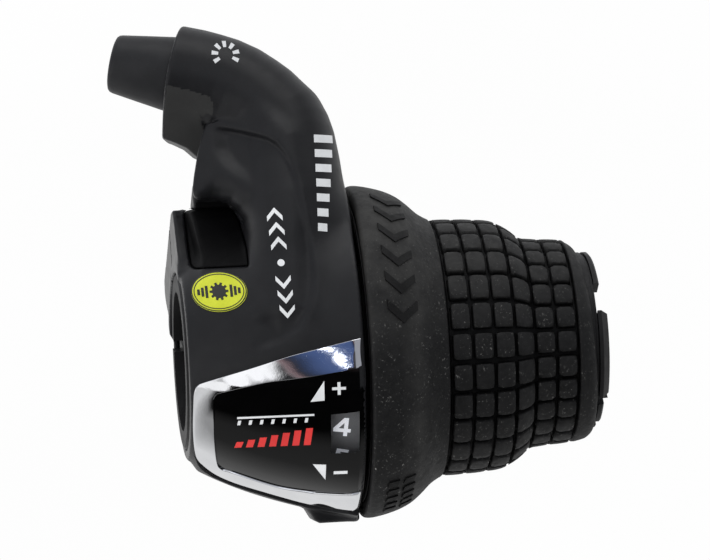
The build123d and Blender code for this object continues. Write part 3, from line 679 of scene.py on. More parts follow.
# a plain scale: a fine rule over seven rising bars
rule = [box_poly(7.3, 19.0, -9.35, -9.05)]
for i in range(7):
    rule.append(box_poly(7.3 + i * 1.7, 7.75 + i * 1.7, -10.35, -9.65, 0.15))
red_bars = []
for i in range(7):
    red_bars.append(box_poly(6.9 + i * 1.75, 7.95 + i * 1.75, -14.0, -13.1 + 0.30 * i, 0.35))
lens_marks = slab("lens_marks", white_marks, surf_lens, 0.035, 0.06, 1.2)
lens_rule = slab("lens_scale", rule, surf_lens, 0.035, 0.06, 1.2)
lens_bars = slab("lens_step_bars", red_bars, surf_lens, 0.035, 0.06, 1.2)

# ------------------------------------------------------------------ number ring
r0, r1 = bell_r(20.7) - WALL - 0.2, bell_r(27.0) - WALL - 0.2
ring = lathe("number_drum", [(20.7, r0 - 1.2), (20.7, r0 - 0.2), (20.9, r0), (26.7, r1 - 0.05), (27.0, r1 - 0.35), (27.0, 14.25),
                             (25.8, 14.25), (25.8, r1 - 1.5)], 180)
auto_smooth(ring, 35)
PHI4 = math.radians(-29.5)


def ring_r(x):
    return r0 + (r1 - r0) * (x - 20.7) / 6.3


def surf_ring(x, g):
    p = polar(x, ring_r(x), PHI4 + g / ring_r(x))
    n = p.copy()
    n[..., 0] = 0
    return p, n / np.linalg.norm(n, axis=-1, keepdims=True)


# the number in the window, drawn in three strokes
FOUR = [[(0.57, 0.0), (0.80, 0.0), (0.92, 1.0), (0.69, 1.0)], [(0.0, 0.40), (0.29, 0.40), (0.80, 0.86), (0.92, 1.0), (0.66, 1.0)],
        [(0.0, 0.22), (1.0, 0.22), (1.03, 0.41), (0.0, 0.41)]]
numerals = [slab("numeral_4", [[(23.46 + (a - 0.5) * 2.62, (b - 0.5) * 3.3) for a, b in q] for q in FOUR], surf_ring, 0.05, 0.05)]
for k in (1, 2, 3, 5, 6, 7):
    cu = bpy.data.curves.new("numeral", "FONT")
    cu.body = str(k)
    cu.size = 4.55
    cu.extrude = 0.05
    cu.offset = 0.075
    cu.shear = 0.15
    cu.align_x, cu.align_y = "CENTER", "CENTER"
    cu.resolution_u = 6
    tmp = bpy.data.objects.new("numeral", cu)
    scene.collection.objects.link(tmp)
    bpy.context.view_layer.update()
    me = bpy.data.meshes.new_from_object(tmp.evaluated_get(bpy.context.evaluated_depsgraph_get()))
    bpy.data.objects.remove(tmp)
    bm = bmesh.new()
    bm.from_mesh(me)
    bmesh.ops.remove_doubles(bm, verts=bm.verts[:], dist=1e-4)
    bm.normal_update()
    bmesh.ops.triangulate(bm, faces=bm.faces[:])
    long = [e for e in bm.edges if e.calc_length() > 0.8]
    if long:
        bmesh.ops.subdivide_edges(bm, edges=long, cuts=2)
        bm.normal_update()
        bmesh.ops.triangulate(bm, faces=[f for f in bm.faces if len(f.verts) > 3])
    bm.verts.index_update()
    co = np.array([tuple(v.co) for v in bm.verts])
    mid = (co.min(0) + co.max(0)) / 2
    gx, gy = (co[:, 0] - mid[0]) * 1.19, co[:, 1] - mid[1]
    x = 23.3 + gx
    phi = PHI4 + math.radians(15.0) * (4 - k) + gy / ring_r(x)
    pts = polar(x, ring_r(x) + co[:, 2] + 0.0, phi)
    fs = [[v.index for v in f.verts] for f in bm.faces]
    bm.free()
    ob = new_mesh(f"numeral_{k}", pts, fs)
    tidy_normals(ob)
    auto_smooth(ob, 30)
    numerals.append(ob)

# ------------------------------------------------------------------ oval label
LA, LB, LCX, LCU = 4.2, 3.16, 5.76, 10.84
rings_s = np.concatenate([np.linspace(0.04, 0.96, 13), [0.985, 1.0, 1.0]])
lift = np.concatenate([np.full(13, 0.14), [0.12, 0.06, -0.3]])
th = np.linspace(0, 2 * np.pi, 72, endpoint=False)
GX = LCX + LA * rings_s[:, None] * np.cos(th)[None, :]
GU = LCU + LB * rings_s[:, None] * np.sin(th)[None, :]
lp, ln = drop(GX, GU)
V = lp + lift[:, None, None] * ln
faces = [tuple(f) for f in grid_faces(len(rings_s), 72, wrap=True)]
faces.append(tuple(range(72)))
base = (len(rings_s) - 1) * 72
faces.append(tuple(base + i for i in reversed(range(72))))
label = new_mesh("label_oval", V.reshape(-1, 3), faces)
tidy_normals(label)


def ell_ring(a, b, w, k=48):
    out = []
    for i in range(k):
        t0, t1 = 2 * math.pi * i / k, 2 * math.pi * (i + 1) / k
        out.append([(LCX + a * math.cos(t0), LCU + b * math.sin(t0)), (LCX + a * math.cos(t1), LCU + b * math.sin(t1)),
                    (LCX + (a - w) * math.cos(t1), LCU + (b - w) * math.sin(t1)),
                    (LCX + (a - w) * math.cos(t0), LCU + (b - w) * math.sin(t0))])
    return out


cog = []
for i in range(10):
    for f, rr in ((-0.3, 1.05), (-0.2, 1.42), (0.2, 1.42), (0.3, 1.05)):
        a = 2 * math.pi * (i + f) / 10
        cog.append((LCX + rr * math.cos(a), LCU + rr * math.sin(a)))
motif = [cog]
for sgn in (-1, 1):
    for k, (hh, dx) in enumerate(((0.95, 1.85), (0.7, 2.45), (0.45, 3.05))):
        cx = LCX + sgn * dx
        motif.append(box_poly(cx - 0.2, cx + 0.2, LCU - hh, LCU + hh))


def surf_label(x, u):
    p, n = drop(x, u)
    return p + 0.14 * n, n


label_motif = slab("label_motif", motif, surf_label, 0.03, 0.05, 0.5)
label_rim = slab("label_rim", ell_ring(3.80, 2.78, 0.14) + ell_ring(4.16, 3.12, 0.15), surf_label, 0.03, 0.05, 0.6)
bm = bmesh.new()
bm.from_mesh(label_rim.data)
bmesh.ops.remove_doubles(bm, verts=bm.verts[:], dist=1e-6)
bm.to_mesh(label_rim.data)
bm.free()

# ------------------------------------------------------------------ print on the arm
steps = []
for i in range(7):
    u0 = 19.6 + 2.35 * i
    xm = 22.25 + 0.115 * (u0 - 19.4)
    w = 0.75 + 0.15 * i
    steps.append([(xm - w, u0), (xm + w, u0 - 0.2), (xm + w + 0.1, u0 + 1.05), (xm - w + 0.1, u0 + 1.25)])
turn = [disc_poly(15.35, 14.9, 0.55, 0.55, 20)]
for sgn in (-1, 1):
    for i in range(3):
        a = 14.9 + sgn * (2.0 + 2.3 * i)
        xm = 15.35 - 0.055 * (a - 14.9)
        turn.append([(xm - 1.15, a), (xm, a + 1.35 * sgn), (xm + 1.15, a), (xm + 1.15, a + 0.8 * sgn), (xm, a + 2.15 * sgn), (xm - 1.15, a + 0.8 * sgn)])
dial = []
for i in range(7):
    t = math.radians(-30.0 + 40.0 * i)
    ca, sa = math.cos(t), math.sin(t)
    dial.append([(9.5 + a * ca - b * sa, 48.6 + a * sa + b * ca) for a, b in ((1.2, -0.24), (2.25, -0.34), (2.25, 0.34), (1.2, 0.24))])
arm_print = slab("arm_print", steps + turn + dial, drop, 0.03, 0.08, 0.5)

# ------------------------------------------------------------------ rubber grip
RUBBER = np.array([(28.0, 26.0), (28.15, 26.4), (28.5, 26.68), (29.4, 26.75), (30.75, 26.55), (32.4, 26.15), (34.1, 25.6),
                   (35.8, 24.75), (37.4, 23.5), (39.0, 22.0), (40.2, 21.2), (40.9, 20.85), (41.4, 20.65), (43.0, 20.6),
                   (44.7, 20.55), (48.7, 20.3), (51.1, 19.95), (52.4, 19.35), (54.1, 18.25), (55.7, 17.05), (57.4, 16.75),
                   (62.2, 16.4), (63.3, 16.22), (64.1, 15.95)])
rub_c = catmull(RUBBER, 12)
rub_c = rub_c[np.argsort(rub_c[:, 0])]


def rub_r(x):
    return np.interp(x, rub_c[:, 0], rub_c[:, 1])


ROWS, COLS = 26, 6
TX0, TX1 = 41.4, 62.2
PITCH_X = (TX1 - TX0) / COLS
PHI_G = math.radians(7.5)  # one groove
t_th = np.array([-1, -.93, -.88, -.862, -.845, -.825, -.805, -.765, -.45, 0, .45, .765, .805, .825, .845, .862, .88, .93])
t_x = np.array([-1, -.95, -.905, -.885, -.865, -.84, -.81, -.77, -.45, 0, .45, .77, .81, .84, .865, .885, .905, .95])
half = math.pi / ROWS
phis = np.concatenate([PHI_G + half + 2 * half * i + half * t_th for i in range(ROWS)])
xs_t = np.concatenate([TX0 + PITCH_X * (i + 0.5) + PITCH_X / 2 * t_x for i in range(COLS)])
xs_f = np.unique(np.round(np.concatenate([RUBBER[:3, 0], np.linspace(28.0, 28.6, 6), np.linspace(28.6, 40.6, 46), [40.75, 40.9, 41.0, 41.1, 41.2, 41.3]]), 3))
xs_e = np.array([62.2, 62.28, 62.36, 62.46, 62.6, 62.9, 63.3, 63.7, 64.1])
xs = np.concatenate([xs_f, xs_t, xs_e])
PX, PH = np.meshgrid(xs, phis, indexing="ij")
RR = rub_r(PX)
ci = np.clip(np.floor((PX - TX0) / PITCH_X), 0, COLS - 1)
p = PX - (TX0 + PITCH_X * (ci + 0.5))
q = ((PH - PHI_G) / (2 * half)) % 1.0
q = (q - 0.5) * 2 * half * RR
ax_ = PITCH_X / 2 - 0.28
bx_ = half * RR - 0.44 * RR / 20.5
cr = 0.4
dx = np.abs(p) - ax_ + cr
dq = np.abs(q) - bx_ + cr
sd = np.hypot(np.maximum(dx, 0), np.maximum(dq, 0)) + np.minimum(np.maximum(dx, dq), 0) - cr
tread = (PX >= TX0 - 1e-6) & (PX <= TX1 + 1e-6)
DEPTH = 1.25
cut = DEPTH * sstep(-0.05, 0.10, sd)
dome = 0.08 * np.clip(1 - (p / ax_) ** 2, 0, 1) * np.clip(1 - (q / bx_) ** 2, 0, 1)
edge_f = DEPTH * sstep(0.55, 0.05, TX0 - PX)
edge_e = DEPTH * sstep(0.45, 0.05, PX - TX1)
delta = np.where(tread, -cut + dome, np.where(PX < TX0, -edge_f, -edge_e))
# radius of each point, less the grooves and plus the pads' slight crowns
RP = RR + delta
outer = polar(PX, RP, PH)
# the free end of the soft sleeve leans a little
outer[..., 0] -= (0.22 + 0.05 * RP * np.sin(PH)) * np.clip((PX - 62.4) / 1.7, 0, 1)
tail = [(64.5, 15.72), (64.85, 15.45), (65.12, 15.15), (65.32, 14.8), (65.42, 14.45), (65.45, 14.25), (65.4, 14.22), (55.5, 14.65), (50.5, 17.65),
        (41.0, 18.45), (37.0, 21.45), (33.5, 23.45), (30.0, 24.35), (28.0, 24.3), (28.0, 25.6)]
tailp = np.stack([polar(np.full(len(phis), a) - (0.22 + 0.05 * b * np.sin(phis)) * (a > 60), b, phis) for a, b in tail])
G = np.concatenate([outer, tailp])
nrow, ncol = G.shape[:2]
quads = grid_faces(nrow, ncol, wrap=True)
c = np.arange(ncol)
lastr = (nrow - 1) * ncol
closing = np.stack([lastr + c, lastr + (c + 1) % ncol, (c + 1) % ncol, c], axis=-1)
grip = fast_mesh("grip_sleeve", G.reshape(-1, 3), np.concatenate([quads, closing]))
tidy_normals(grip)
# how deep in a groove each point lies, for painted shade in the rubber's colour
depth = np.clip(-delta / DEPTH, 0, 1)
depth = np.concatenate([depth.ravel(), np.zeros(tailp.shape[0] * ncol)])
at = grip.data.attributes.new("groove", "FLOAT", "POINT")
at.data.foreach_set("value", depth.astype(np.float32))


def surf_flange(x, a):
    """a is arc length in mm about the flange, up from the front."""
    phi = a / 25.5
    p = polar(x, rub_r(x), phi)
    s = (rub_r(x + 0.05) - rub_r(x - 0.05)) / 0.1
    rad = polar(0 * x, np.ones_like(x), phi)
    n = rad - s[:, None] * np.array([1.0, 0, 0])
    return p, n / np.linalg.norm(n, axis=-1, keepdims=True)


flange = []
for i in range(6):
    a0 = 6.6 + 4.7 * i
    flange.append([(31.0, a0), (33.4, a0 - 2.2), (35.8, a0), (35.8, a0 + 1.5), (33.4, a0 - 0.7), (31.0, a0 + 1.5)])
for i in range(5):
    a0 = -23.6 - 2.2 * i
    flange.append(box_poly(30.6, 32.3, a0, a0 + 1.1, 0.3))
    flange.append(box_poly(33.2, 34.9, a0, a0 + 1.1, 0.3))
flange_marks = slab("grip_ribs", flange, surf_flange, 0.26, 0.3, 0.7)

# ------------------------------------------------------------------ casing stop
prof = [(-6.0, 0.95), (-6.0, 3.2), (-5.8, 3.4), (0.0, 3.4), (0.0, 6.05), (0.25, 6.05), (5.0, 5.36), (9.0, 4.76), (9.5, 4.62),
        (9.78, 4.36), (9.9, 4.0), (9.9, 3.05), (9.82, 2.8), (9.6, 2.65), (9.3, 2.6), (1.2, 2.6), (1.2, 0.95)]
tdir = STOP_DIR
e1 = np.cross(tdir, [0, 0, 1.0])
e1 = e1 / np.linalg.norm(e1)
e2 = np.cross(tdir, e1)
th = np.linspace(0, 2 * np.pi, 96, endpoint=False)
V = np.array([[STOP_AT + tdir * t + r * (e1 * math.cos(a) + e2 * math.sin(a)) for a in th] for t, r in prof])
k = len(prof)
qf = grid_faces(k, 96, wrap=True)
c = np.arange(96)
lastr = (k - 1) * 96
closing = np.stack([lastr + c, lastr + (c + 1) % 96, (c + 1) % 96, c], axis=-1)
stop = fast_mesh("casing_outlet", V.reshape(-1, 3), np.concatenate([qf, closing]))
tidy_normals(stop)
auto_smooth(stop, 30)

# ------------------------------------------------------------------ materials
def shader(name, **sockets):
    m = bpy.data.materials.new(name)
    m.use_nodes = True
    nt = m.node_tree
    b = nt.nodes["Principled BSDF"]
    for key, val in sockets.items():
        b.inputs[key.replace("_", " ")].default_value = val
    co = nt.nodes.new("ShaderNodeTexCoord")
    return m, nt, b, co.outputs["Object"]


def noise(nt, co, scale, detail=3.0, rough=0.55, squash=None):
    if squash is not None:
        mp = nt.nodes.new("ShaderNodeMapping")
        mp.inputs["Scale"].default_value = squash
        nt.links.new(co, mp.inputs["Vector"])
        co = mp.outputs["Vector"]
    n = nt.nodes.new("ShaderNodeTexNoise")
    n.inputs["Scale"].default_value = scale
    n.inputs["Detail"].default_value = detail
    n.inputs["Roughness"].default_value = rough
    nt.links.new(co, n.inputs["Vector"])
    return n.outputs["Fac"]


def ramp(nt, fac, stops):
    r = nt.nodes.new("ShaderNodeValToRGB")
    el = r.color_ramp.elements
    while len(el) < len(stops):
        el.new(0.5)
    for e, (pos, col) in zip(el, stops):
        e.position = pos
        e.color = (*col, 1.0) if len(col) == 3 else col
    nt.links.new(fac, r.inputs["Fac"])
    return r.outputs["Color"]


def remap(nt, fac, a, b, c, d):
    m = nt.nodes.new("ShaderNodeMapRange")
    for k, v in zip(("From Min", "From Max", "To Min", "To Max"), (a, b, c, d)):
        m.inputs[k].default_value = v
    nt.links.new(fac, m.inputs["Value"])
    return m.outputs["Result"]


def mix(nt, fac, a, b):
    m = nt.nodes.new("ShaderNodeMix")
    m.data_type = "RGBA"
    nt.links.new(fac, m.inputs["Factor"])
    nt.links.new(a, m.inputs[6])
    if isinstance(b, tuple):
        m.inputs[7].default_value = (*b, 1.0)
    else:
        nt.links.new(b, m.inputs[7])
    return m.outputs[2]


def bump(nt, b, height, strength, dist):
    n = nt.nodes.new("ShaderNodeBump")
    n.inputs["Strength"].default_value = strength
    n.inputs["Distance"].default_value = dist
    nt.links.new(height, n.inputs["Height"])
    nt.links.new(n.outputs["Normal"], b.inputs["Normal"])


def plastic(name, lo, hi, r_lo, r_hi, grain=3500, strength=0.06, dust=0.0, spec=0.5):
    m, nt, b, co = shader(name, Specular_IOR_Level=spec)
    col = ramp(nt, noise(nt, co, 320, 5), [(0.3, lo), (0.7, hi)])
    if dust:
        d = remap(nt, noise(nt, co, 5200, 2, 0.7), 0.66, 0.76, 0.0, dust)
        col = mix(nt, d, col, (0.16, 0.16, 0.165))
    nt.links.new(col, b.inputs["Base Color"])
    nt.links.new(remap(nt, noise(nt, co, 700, 4), 0.3, 0.7, r_lo, r_hi), b.inputs["Roughness"])
    bump(nt, b, noise(nt, co, grain, 2), strength, 0.00012)
    return m


M_COVER = plastic("cover_plastic", (0.0072, 0.0073, 0.0085), (0.0092, 0.0094, 0.0107), 0.36, 0.44, 4200, 0.05, 0.10, 0.26)
# matt plastic painted lighter for the flat under the tube, standing in for light from low in front
M_FACET_LIT = plastic("cover_matt_lit", (0.0215, 0.0215, 0.0214), (0.0255, 0.0255, 0.0253), 0.55, 0.65, 4200, 0.06, 0.10, 0.12)
# lighter plastic for the inboard face: painted light, as if lit from the left
M_FACE_LIT = plastic("cover_face_lit", (0.016, 0.016, 0.017), (0.022, 0.022, 0.023), 0.30, 0.38, 4200, 0.06, 0.20, 0.6)
# near-black cap plastic, partly painted shade under the neck's overhang; also used to paint the recess around the cap
M_CAP_SHADE = plastic("cap_plastic", (0.0024, 0.0024, 0.0026), (0.0038, 0.0038, 0.0042), 0.46, 0.56, 4200, 0.06, 0.05, 0.06)
M_STOP = plastic("stop_plastic", (0.0118, 0.0120, 0.0134), (0.0160, 0.0163, 0.0178), 0.38, 0.46, 3800, 0.06, 0.12, 0.20)
M_BRACKET = plastic("bracket_plastic", (0.0065, 0.0065, 0.0070), (0.0105, 0.0105, 0.0112), 0.44, 0.56, 3000, 0.08, 0.10, 0.22)
M_DRUM = plastic("drum_plastic", (0.30, 0.30, 0.29), (0.38, 0.38, 0.37), 0.40, 0.5, 3000, 0.05)
M_WASHER = plastic("washer_plastic", (0.45, 0.44, 0.42), (0.55, 0.54, 0.52), 0.4, 0.5, 3000, 0.05)
M_LINER = plastic("liner_plastic", (0.55, 0.56, 0.55), (0.66, 0.67, 0.66), 0.35, 0.45, 3000, 0.05)
M_RING = plastic("ring_plastic", (0.115, 0.117, 0.123), (0.135, 0.137, 0.144), 0.45, 0.55, 3000, 0.05)
M_PAINT = plastic("mark_paint", (0.53, 0.54, 0.55), (0.62, 0.63, 0.64), 0.4, 0.5, 5000, 0.04)
M_RED = plastic("mark_red", (0.50, 0.012, 0.012), (0.62, 0.022, 0.018), 0.35, 0.45, 5000, 0.04)
M_NUMBER_GLOW = plastic("number_paint_glow", (0.90, 0.91, 0.94), (0.95, 0.96, 0.98), 0.4, 0.5, 5000, 0.04)
# painted light: the numerals glow faintly, standing in for light reaching them through the window
M_NUMBER_GLOW.node_tree.nodes["Principled BSDF"].inputs["Emission Color"].default_value = (0.78, 0.82, 0.95, 1.0)
M_NUMBER_GLOW.node_tree.nodes["Principled BSDF"].inputs["Emission Strength"].default_value = 0.16
M_INK = plastic("label_ink", (0.010, 0.010, 0.008), (0.018, 0.018, 0.014), 0.35, 0.45, 5000, 0.04)
M_LABEL = plastic("label_yellow", (0.44, 0.48, 0.022), (0.53, 0.57, 0.040), 0.30, 0.40, 2500, 0.04, 0.0, 0.25)


def rubber(name, k, dust):
    m, nt, b, co = shader(name, Specular_IOR_Level=0.22)
    col = ramp(nt, noise(nt, co, 700, 6, 0.7), [(0.28, (0.0095 * k, 0.0095 * k, 0.0100 * k)), (0.72, (0.0185 * k, 0.0185 * k, 0.0190 * k))])
    fine = remap(nt, noise(nt, co, 2300, 3, 0.75), 0.60, 0.70, 0.0, dust)
    patch = remap(nt, noise(nt, co, 420, 4, 0.6), 0.42, 0.66, 0.1, 1.0)
    mul = nt.nodes.new("ShaderNodeMath")
    mul.operation = "MULTIPLY"
    nt.links.new(fine, mul.inputs[0])
    nt.links.new(patch, mul.inputs[1])
    col = mix(nt, mul.outputs[0], col, (0.15, 0.148, 0.14))
    # lighter along the flange's shoulder, a painted sheen band flecked with dust, and lighter towards the top
    sep = nt.nodes.new("ShaderNodeSeparateXYZ")
    nt.links.new(co, sep.inputs["Vector"])
    for axis, a, c, d, f, most in (("X", 0.0325, 0.0354, 0.0356, 0.0374, 0.45), ("Z", 0.010, 0.026, 0.040, 0.050, 0.85)):
        lighter_band = None
        for fac in (remap(nt, sep.outputs[axis], a, c, 0.0, most * dust), remap(nt, sep.outputs[axis], d, f, 1.0, 0.0),
                    remap(nt, noise(nt, co, 240, 4, 0.6), 0.34, 0.62, 0.25, 1.0)):
            if lighter_band is None:
                lighter_band = fac
                continue
            mul = nt.nodes.new("ShaderNodeMath")
            mul.operation = "MULTIPLY"
            nt.links.new(lighter_band, mul.inputs[0])
            nt.links.new(fac, mul.inputs[1])
            lighter_band = mul.outputs[0]
        col = mix(nt, lighter_band, col, (0.040, 0.0392, 0.0372))
    # painted shade: the rubber is darkened towards the bottom of each groove
    at = nt.nodes.new("ShaderNodeAttribute")
    at.attribute_name = "groove"
    col = mix(nt, remap(nt, at.outputs["Fac"], 0.15, 0.85, 0.0, 1.0), col, (0.0016, 0.0016, 0.0017))
    nt.links.new(col, b.inputs["Base Color"])
    nt.links.new(remap(nt, noise(nt, co, 900, 4), 0.3, 0.7, 0.55, 0.72), b.inputs["Roughness"])
    bump(nt, b, noise(nt, co, 2600, 4, 0.6), 0.22, 0.00016)
    return m


def metal(name, lo, hi, r_lo, r_hi, scale=500, bump_s=0.0):
    m, nt, b, co = shader(name, Metallic=1.0)
    nt.links.new(ramp(nt, noise(nt, co, scale, 4), [(0.3, lo), (0.7, hi)]), b.inputs["Base Color"])
    nt.links.new(remap(nt, noise(nt, co, scale * 1.7, 4), 0.3, 0.7, r_lo, r_hi), b.inputs["Roughness"])
    if bump_s:
        bump(nt, b, noise(nt, co, 2600, 3), bump_s, 0.00006)
    return m


M_RUBBER = rubber("grip_rubber", 0.55, 0.85)
# painted shade: the raised marks take a darker rubber, as if in their own shadow, though moulded of the same rubber
M_RUBBER_MARK_SHADED = rubber("grip_rubber_mark_shaded", 0.22, 0.12)
M_CHROME = metal("bright_chrome", (0.80, 0.81, 0.83), (0.88, 0.89, 0.91), 0.03, 0.06, 260, 0.03)
M_ZINC = metal("zinc_steel", (0.50, 0.50, 0.49), (0.62, 0.62, 0.60), 0.26, 0.40, 900, 0.06)
M_SPRING = metal("spring_steel", (0.42, 0.42, 0.43), (0.52, 0.52, 0.53), 0.22, 0.32, 900)


def gloss(name, lo, hi, r_lo, r_hi, alpha=None):
    m, nt, b, co = shader(name, Specular_IOR_Level=0.5)
    nt.links.new(ramp(nt, noise(nt, co, 300, 3), [(0.3, lo), (0.7, hi)]), b.inputs["Base Color"])
    nt.links.new(remap(nt, noise(nt, co, 500, 3), 0.3, 0.7, r_lo, r_hi), b.inputs["Roughness"])
    if alpha is not None:
        b.inputs["Alpha"].default_value = alpha
    return m


M_LENS = gloss("lens_plastic", (0.0008, 0.0008, 0.0009), (0.0014, 0.0014, 0.0015), 0.05, 0.09)
M_CLEAR = gloss("lens_clear", (0.05, 0.05, 0.052), (0.07, 0.07, 0.072), 0.05, 0.09, 0.06)


def dress(ob, *mats):
    ob.data.materials.clear()
    for m in mats:
        ob.data.materials.append(m)
    if hasattr(ob.data, "polygons"):
        ob.data.polygons.foreach_set("material_index", [0] * len(ob.data.polygons))


def piece(ob, body, mats, node=None):
    dress(ob, *mats)
    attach(ob, body)
    if node:
        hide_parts(node)


for ob, node in ((front_cover, "front_cover"), (rear_cover, "rear_cover")):
    piece(ob, "housing", [M_COVER, M_FACE_LIT, M_CAP_SHADE, M_FACET_LIT], node)
    nrm = np.zeros(len(ob.data.polygons) * 3, dtype=np.float32)
    ob.data.polygons.foreach_get("normal", nrm)
    mid = np.zeros(len(nrm), dtype=np.float32)
    ob.data.polygons.foreach_get("center", mid)
    fx, fu, fn = mid[0::3] * 1000, (mid[1::3] * S + mid[2::3] * C) * 1000, (mid[2::3] * S - mid[1::3] * C) * 1000
    # painted light: faces turned inboard take the lighter, glossier plastic, so the inboard face reads lit from the
    # left
    mi = ((nrm[0::3] < -0.85) & (fx < 1.6)).astype(np.int32)
    # painted shade: cover faces in the recess over the cap take the near-black cap plastic, darkening the recess under
    # the neck
    mi[(fu > 23.6) & (fx > 3.7) & (fn < 6.0) & (sd_poly(fx, fu, POCKET) < 0.1)] = 2
    # the flat under the tube's mouth is moulded matt, and painted lighter as light from low in front
    flat = nrm[0::3] * -0.228 + nrm[1::3] * -0.966 + nrm[2::3] * -0.127
    mi[(flat > 0.965) & (fx < 7.0) & (fu > 31.0) & (fu < 44.0)] = 3
    ob.data.polygons.foreach_set("material_index", mi)
piece(cap, "housing", [M_CAP_SHADE], "cable_hole_cap")
piece(bezel, "housing", [M_CHROME], "indicator_bezel")
piece(lens, "housing", [M_LENS, M_CLEAR], "indicator_lens")
mi = [1 if i in clear else 0 for i in range(len(lens.data.polygons))]
lens.data.polygons.foreach_set("material_index", mi)
piece(lens_marks, "housing", [M_PAINT])
piece(lens_rule, "housing", [M_PAINT])
piece(lens_bars, "housing", [M_RED])
piece(label, "housing", [M_LABEL], "oval_label")
piece(label_motif, "housing", [M_INK])
piece(label_rim, "housing", [M_INK])
piece(arm_print, "housing", [M_PAINT])
piece(stop, "housing", [M_STOP], "casing_stop")
piece(ring, "twist_grip", [M_RING], "number_ring")
for ob in numerals:
    piece(ob, "twist_grip", [M_NUMBER_GLOW])
piece(grip, "twist_grip", [M_RUBBER], "grip_rubber")
piece(flange_marks, "twist_grip", [M_RUBBER_MARK_SHADED])
for node, m in {
    "clamp_bracket": M_BRACKET, "grip_barrel": M_BRACKET, "clamp_bolt": M_ZINC, "clamp_nut": M_ZINC, "cover_screws": M_ZINC,
    "spring_screw": M_ZINC, "cable_guide": M_LINER, "thrust_washer": M_WASHER, "end_washer": M_BRACKET,
    "detent_spring": M_SPRING, "winding_drum": M_DRUM,
}.items():
    dress(frame["nodes"][node], m)

# ------------------------------------------------------------------ camera
cam_data = bpy.data.cameras.new("camera")
cam_data.sensor_fit = "HORIZONTAL"
cam_data.sensor_width = 36.0
cam_data.lens = 36.0 * 4620.0 / 710.0
cam_data.clip_start, cam_data.clip_end = 0.05, 50.0
cam = bpy.data.objects.new("camera", cam_data)
scene.collection.objects.link(cam)
right = Vector((0.99243, -0.12283, 0.0))
upv = Vector((0.05159, 0.41680, 0.90753))
fwd = Vector((0.11147, 0.90066, -0.41998))
rot = Matrix((right, upv, -fwd)).transposed().to_4x4()
cam.matrix_world = Matrix.Translation(Vector((-0.05399, -0.66540, 0.32307))) @ rot
scene.camera = cam
scene.view_settings.view_transform = "Standard"

# ------------------------------------------------------------------ floor and light
bm = bmesh.new()
bmesh.ops.create_grid(bm, x_segments=8, y_segments=8, size=4.0)
me = bpy.data.meshes.new("floor")
bm.to_mesh(me)
bm.free()
floor = bpy.data.objects.new("floor", me)
floor.location = (0, 0, -0.16)
scene.collection.objects.link(floor)
m = bpy.data.materials.new("floor")
m.use_nodes = True
nt = m.node_tree
nt.nodes.remove(nt.nodes["Principled BSDF"])
em = nt.nodes.new("ShaderNodeEmission")
nt.links.new(em.outputs["Emission"], nt.nodes["Material Output"].inputs["Surface"])
sep = nt.nodes.new("ShaderNodeSeparateXYZ")
geo = nt.nodes.new("ShaderNodeNewGeometry")
nt.links.new(geo.outputs["Position"], sep.inputs["Vector"])
lp = nt.nodes.new("ShaderNodeLightPath")
# lit behind and to the left, in shade in front, as on a lit table; plain to the eye
behind = remap(nt, sep.outputs["Y"], -0.07, 0.0, 0.30, 0.75)
near = nt.nodes.new("ShaderNodeMath")
near.operation = "MULTIPLY"
nt.links.new(behind, near.inputs[0])
nt.links.new(remap(nt, sep.outputs["Y"], -0.24, -0.15, 0.03, 1.0), near.inputs[1])
skew = nt.nodes.new("ShaderNodeMath")
skew.operation = "MULTIPLY_ADD"
nt.links.new(sep.outputs["Y"], skew.inputs[0])
skew.inputs[1].default_value = -1.1
nt.links.new(sep.outputs["X"], skew.inputs[2])
left = remap(nt, skew.outputs["Value"], 0.0, -0.07, 0.0, 0.68)
lit = nt.nodes.new("ShaderNodeMath")
lit.operation = "MAXIMUM"
nt.links.new(near.outputs["Value"], lit.inputs[0])
skew2 = nt.nodes.new("ShaderNodeMath")
skew2.operation = "MULTIPLY_ADD"
nt.links.new(sep.outputs["Y"], skew2.inputs[0])
skew2.inputs[1].default_value = -0.98
nt.links.new(sep.outputs["X"], skew2.inputs[2])
far = nt.nodes.new("ShaderNodeMath")
far.operation = "MULTIPLY"
nt.links.new(remap(nt, skew2.outputs["Value"], 0.03, -0.03, 0.0, 1.05), far.inputs[0])
nt.links.new(remap(nt, sep.outputs["X"], -0.85, -1.0, 0.0, 1.0), far.inputs[1])
side = nt.nodes.new("ShaderNodeMath")
side.operation = "MAXIMUM"
nt.links.new(left, side.inputs[0])
nt.links.new(far.outputs["Value"], side.inputs[1])
nt.links.new(side.outputs["Value"], lit.inputs[1])
bounce = nt.nodes.new("ShaderNodeMix")
bounce.data_type = "FLOAT"
nt.links.new(lp.outputs["Is Diffuse Ray"], bounce.inputs["Factor"])
nt.links.new(lit.outputs["Value"], bounce.inputs[2])
bounce.inputs[3].default_value = 1.4
seen = nt.nodes.new("ShaderNodeMix")
seen.data_type = "FLOAT"
nt.links.new(lp.outputs["Is Camera Ray"], seen.inputs["Factor"])
nt.links.new(bounce.outputs[0], seen.inputs[2])
seen.inputs[3].default_value = 1.0
nt.links.new(seen.outputs[0], em.inputs["Strength"])
nt.links.new(ramp(nt, noise(nt, geo.outputs["Position"], 3, 3), [(0.3, (0.985, 0.985, 0.985)), (0.7, (1.0, 1.0, 1.0))]), em.inputs["Color"])
dress(floor, m)


def area(name, loc, target, size, power, color=(1, 1, 1)):
    li = bpy.data.lights.new(name, "AREA")
    li.shape = "RECTANGLE"
    li.size, li.size_y = size
    li.energy = power
    li.color = color
    ob = bpy.data.objects.new(name, li)
    ob.location = loc
    d = Vector(target) - Vector(loc)
    ob.rotation_euler = d.to_track_quat("-Z", "Y").to_euler()
    scene.collection.objects.link(ob)
    return ob


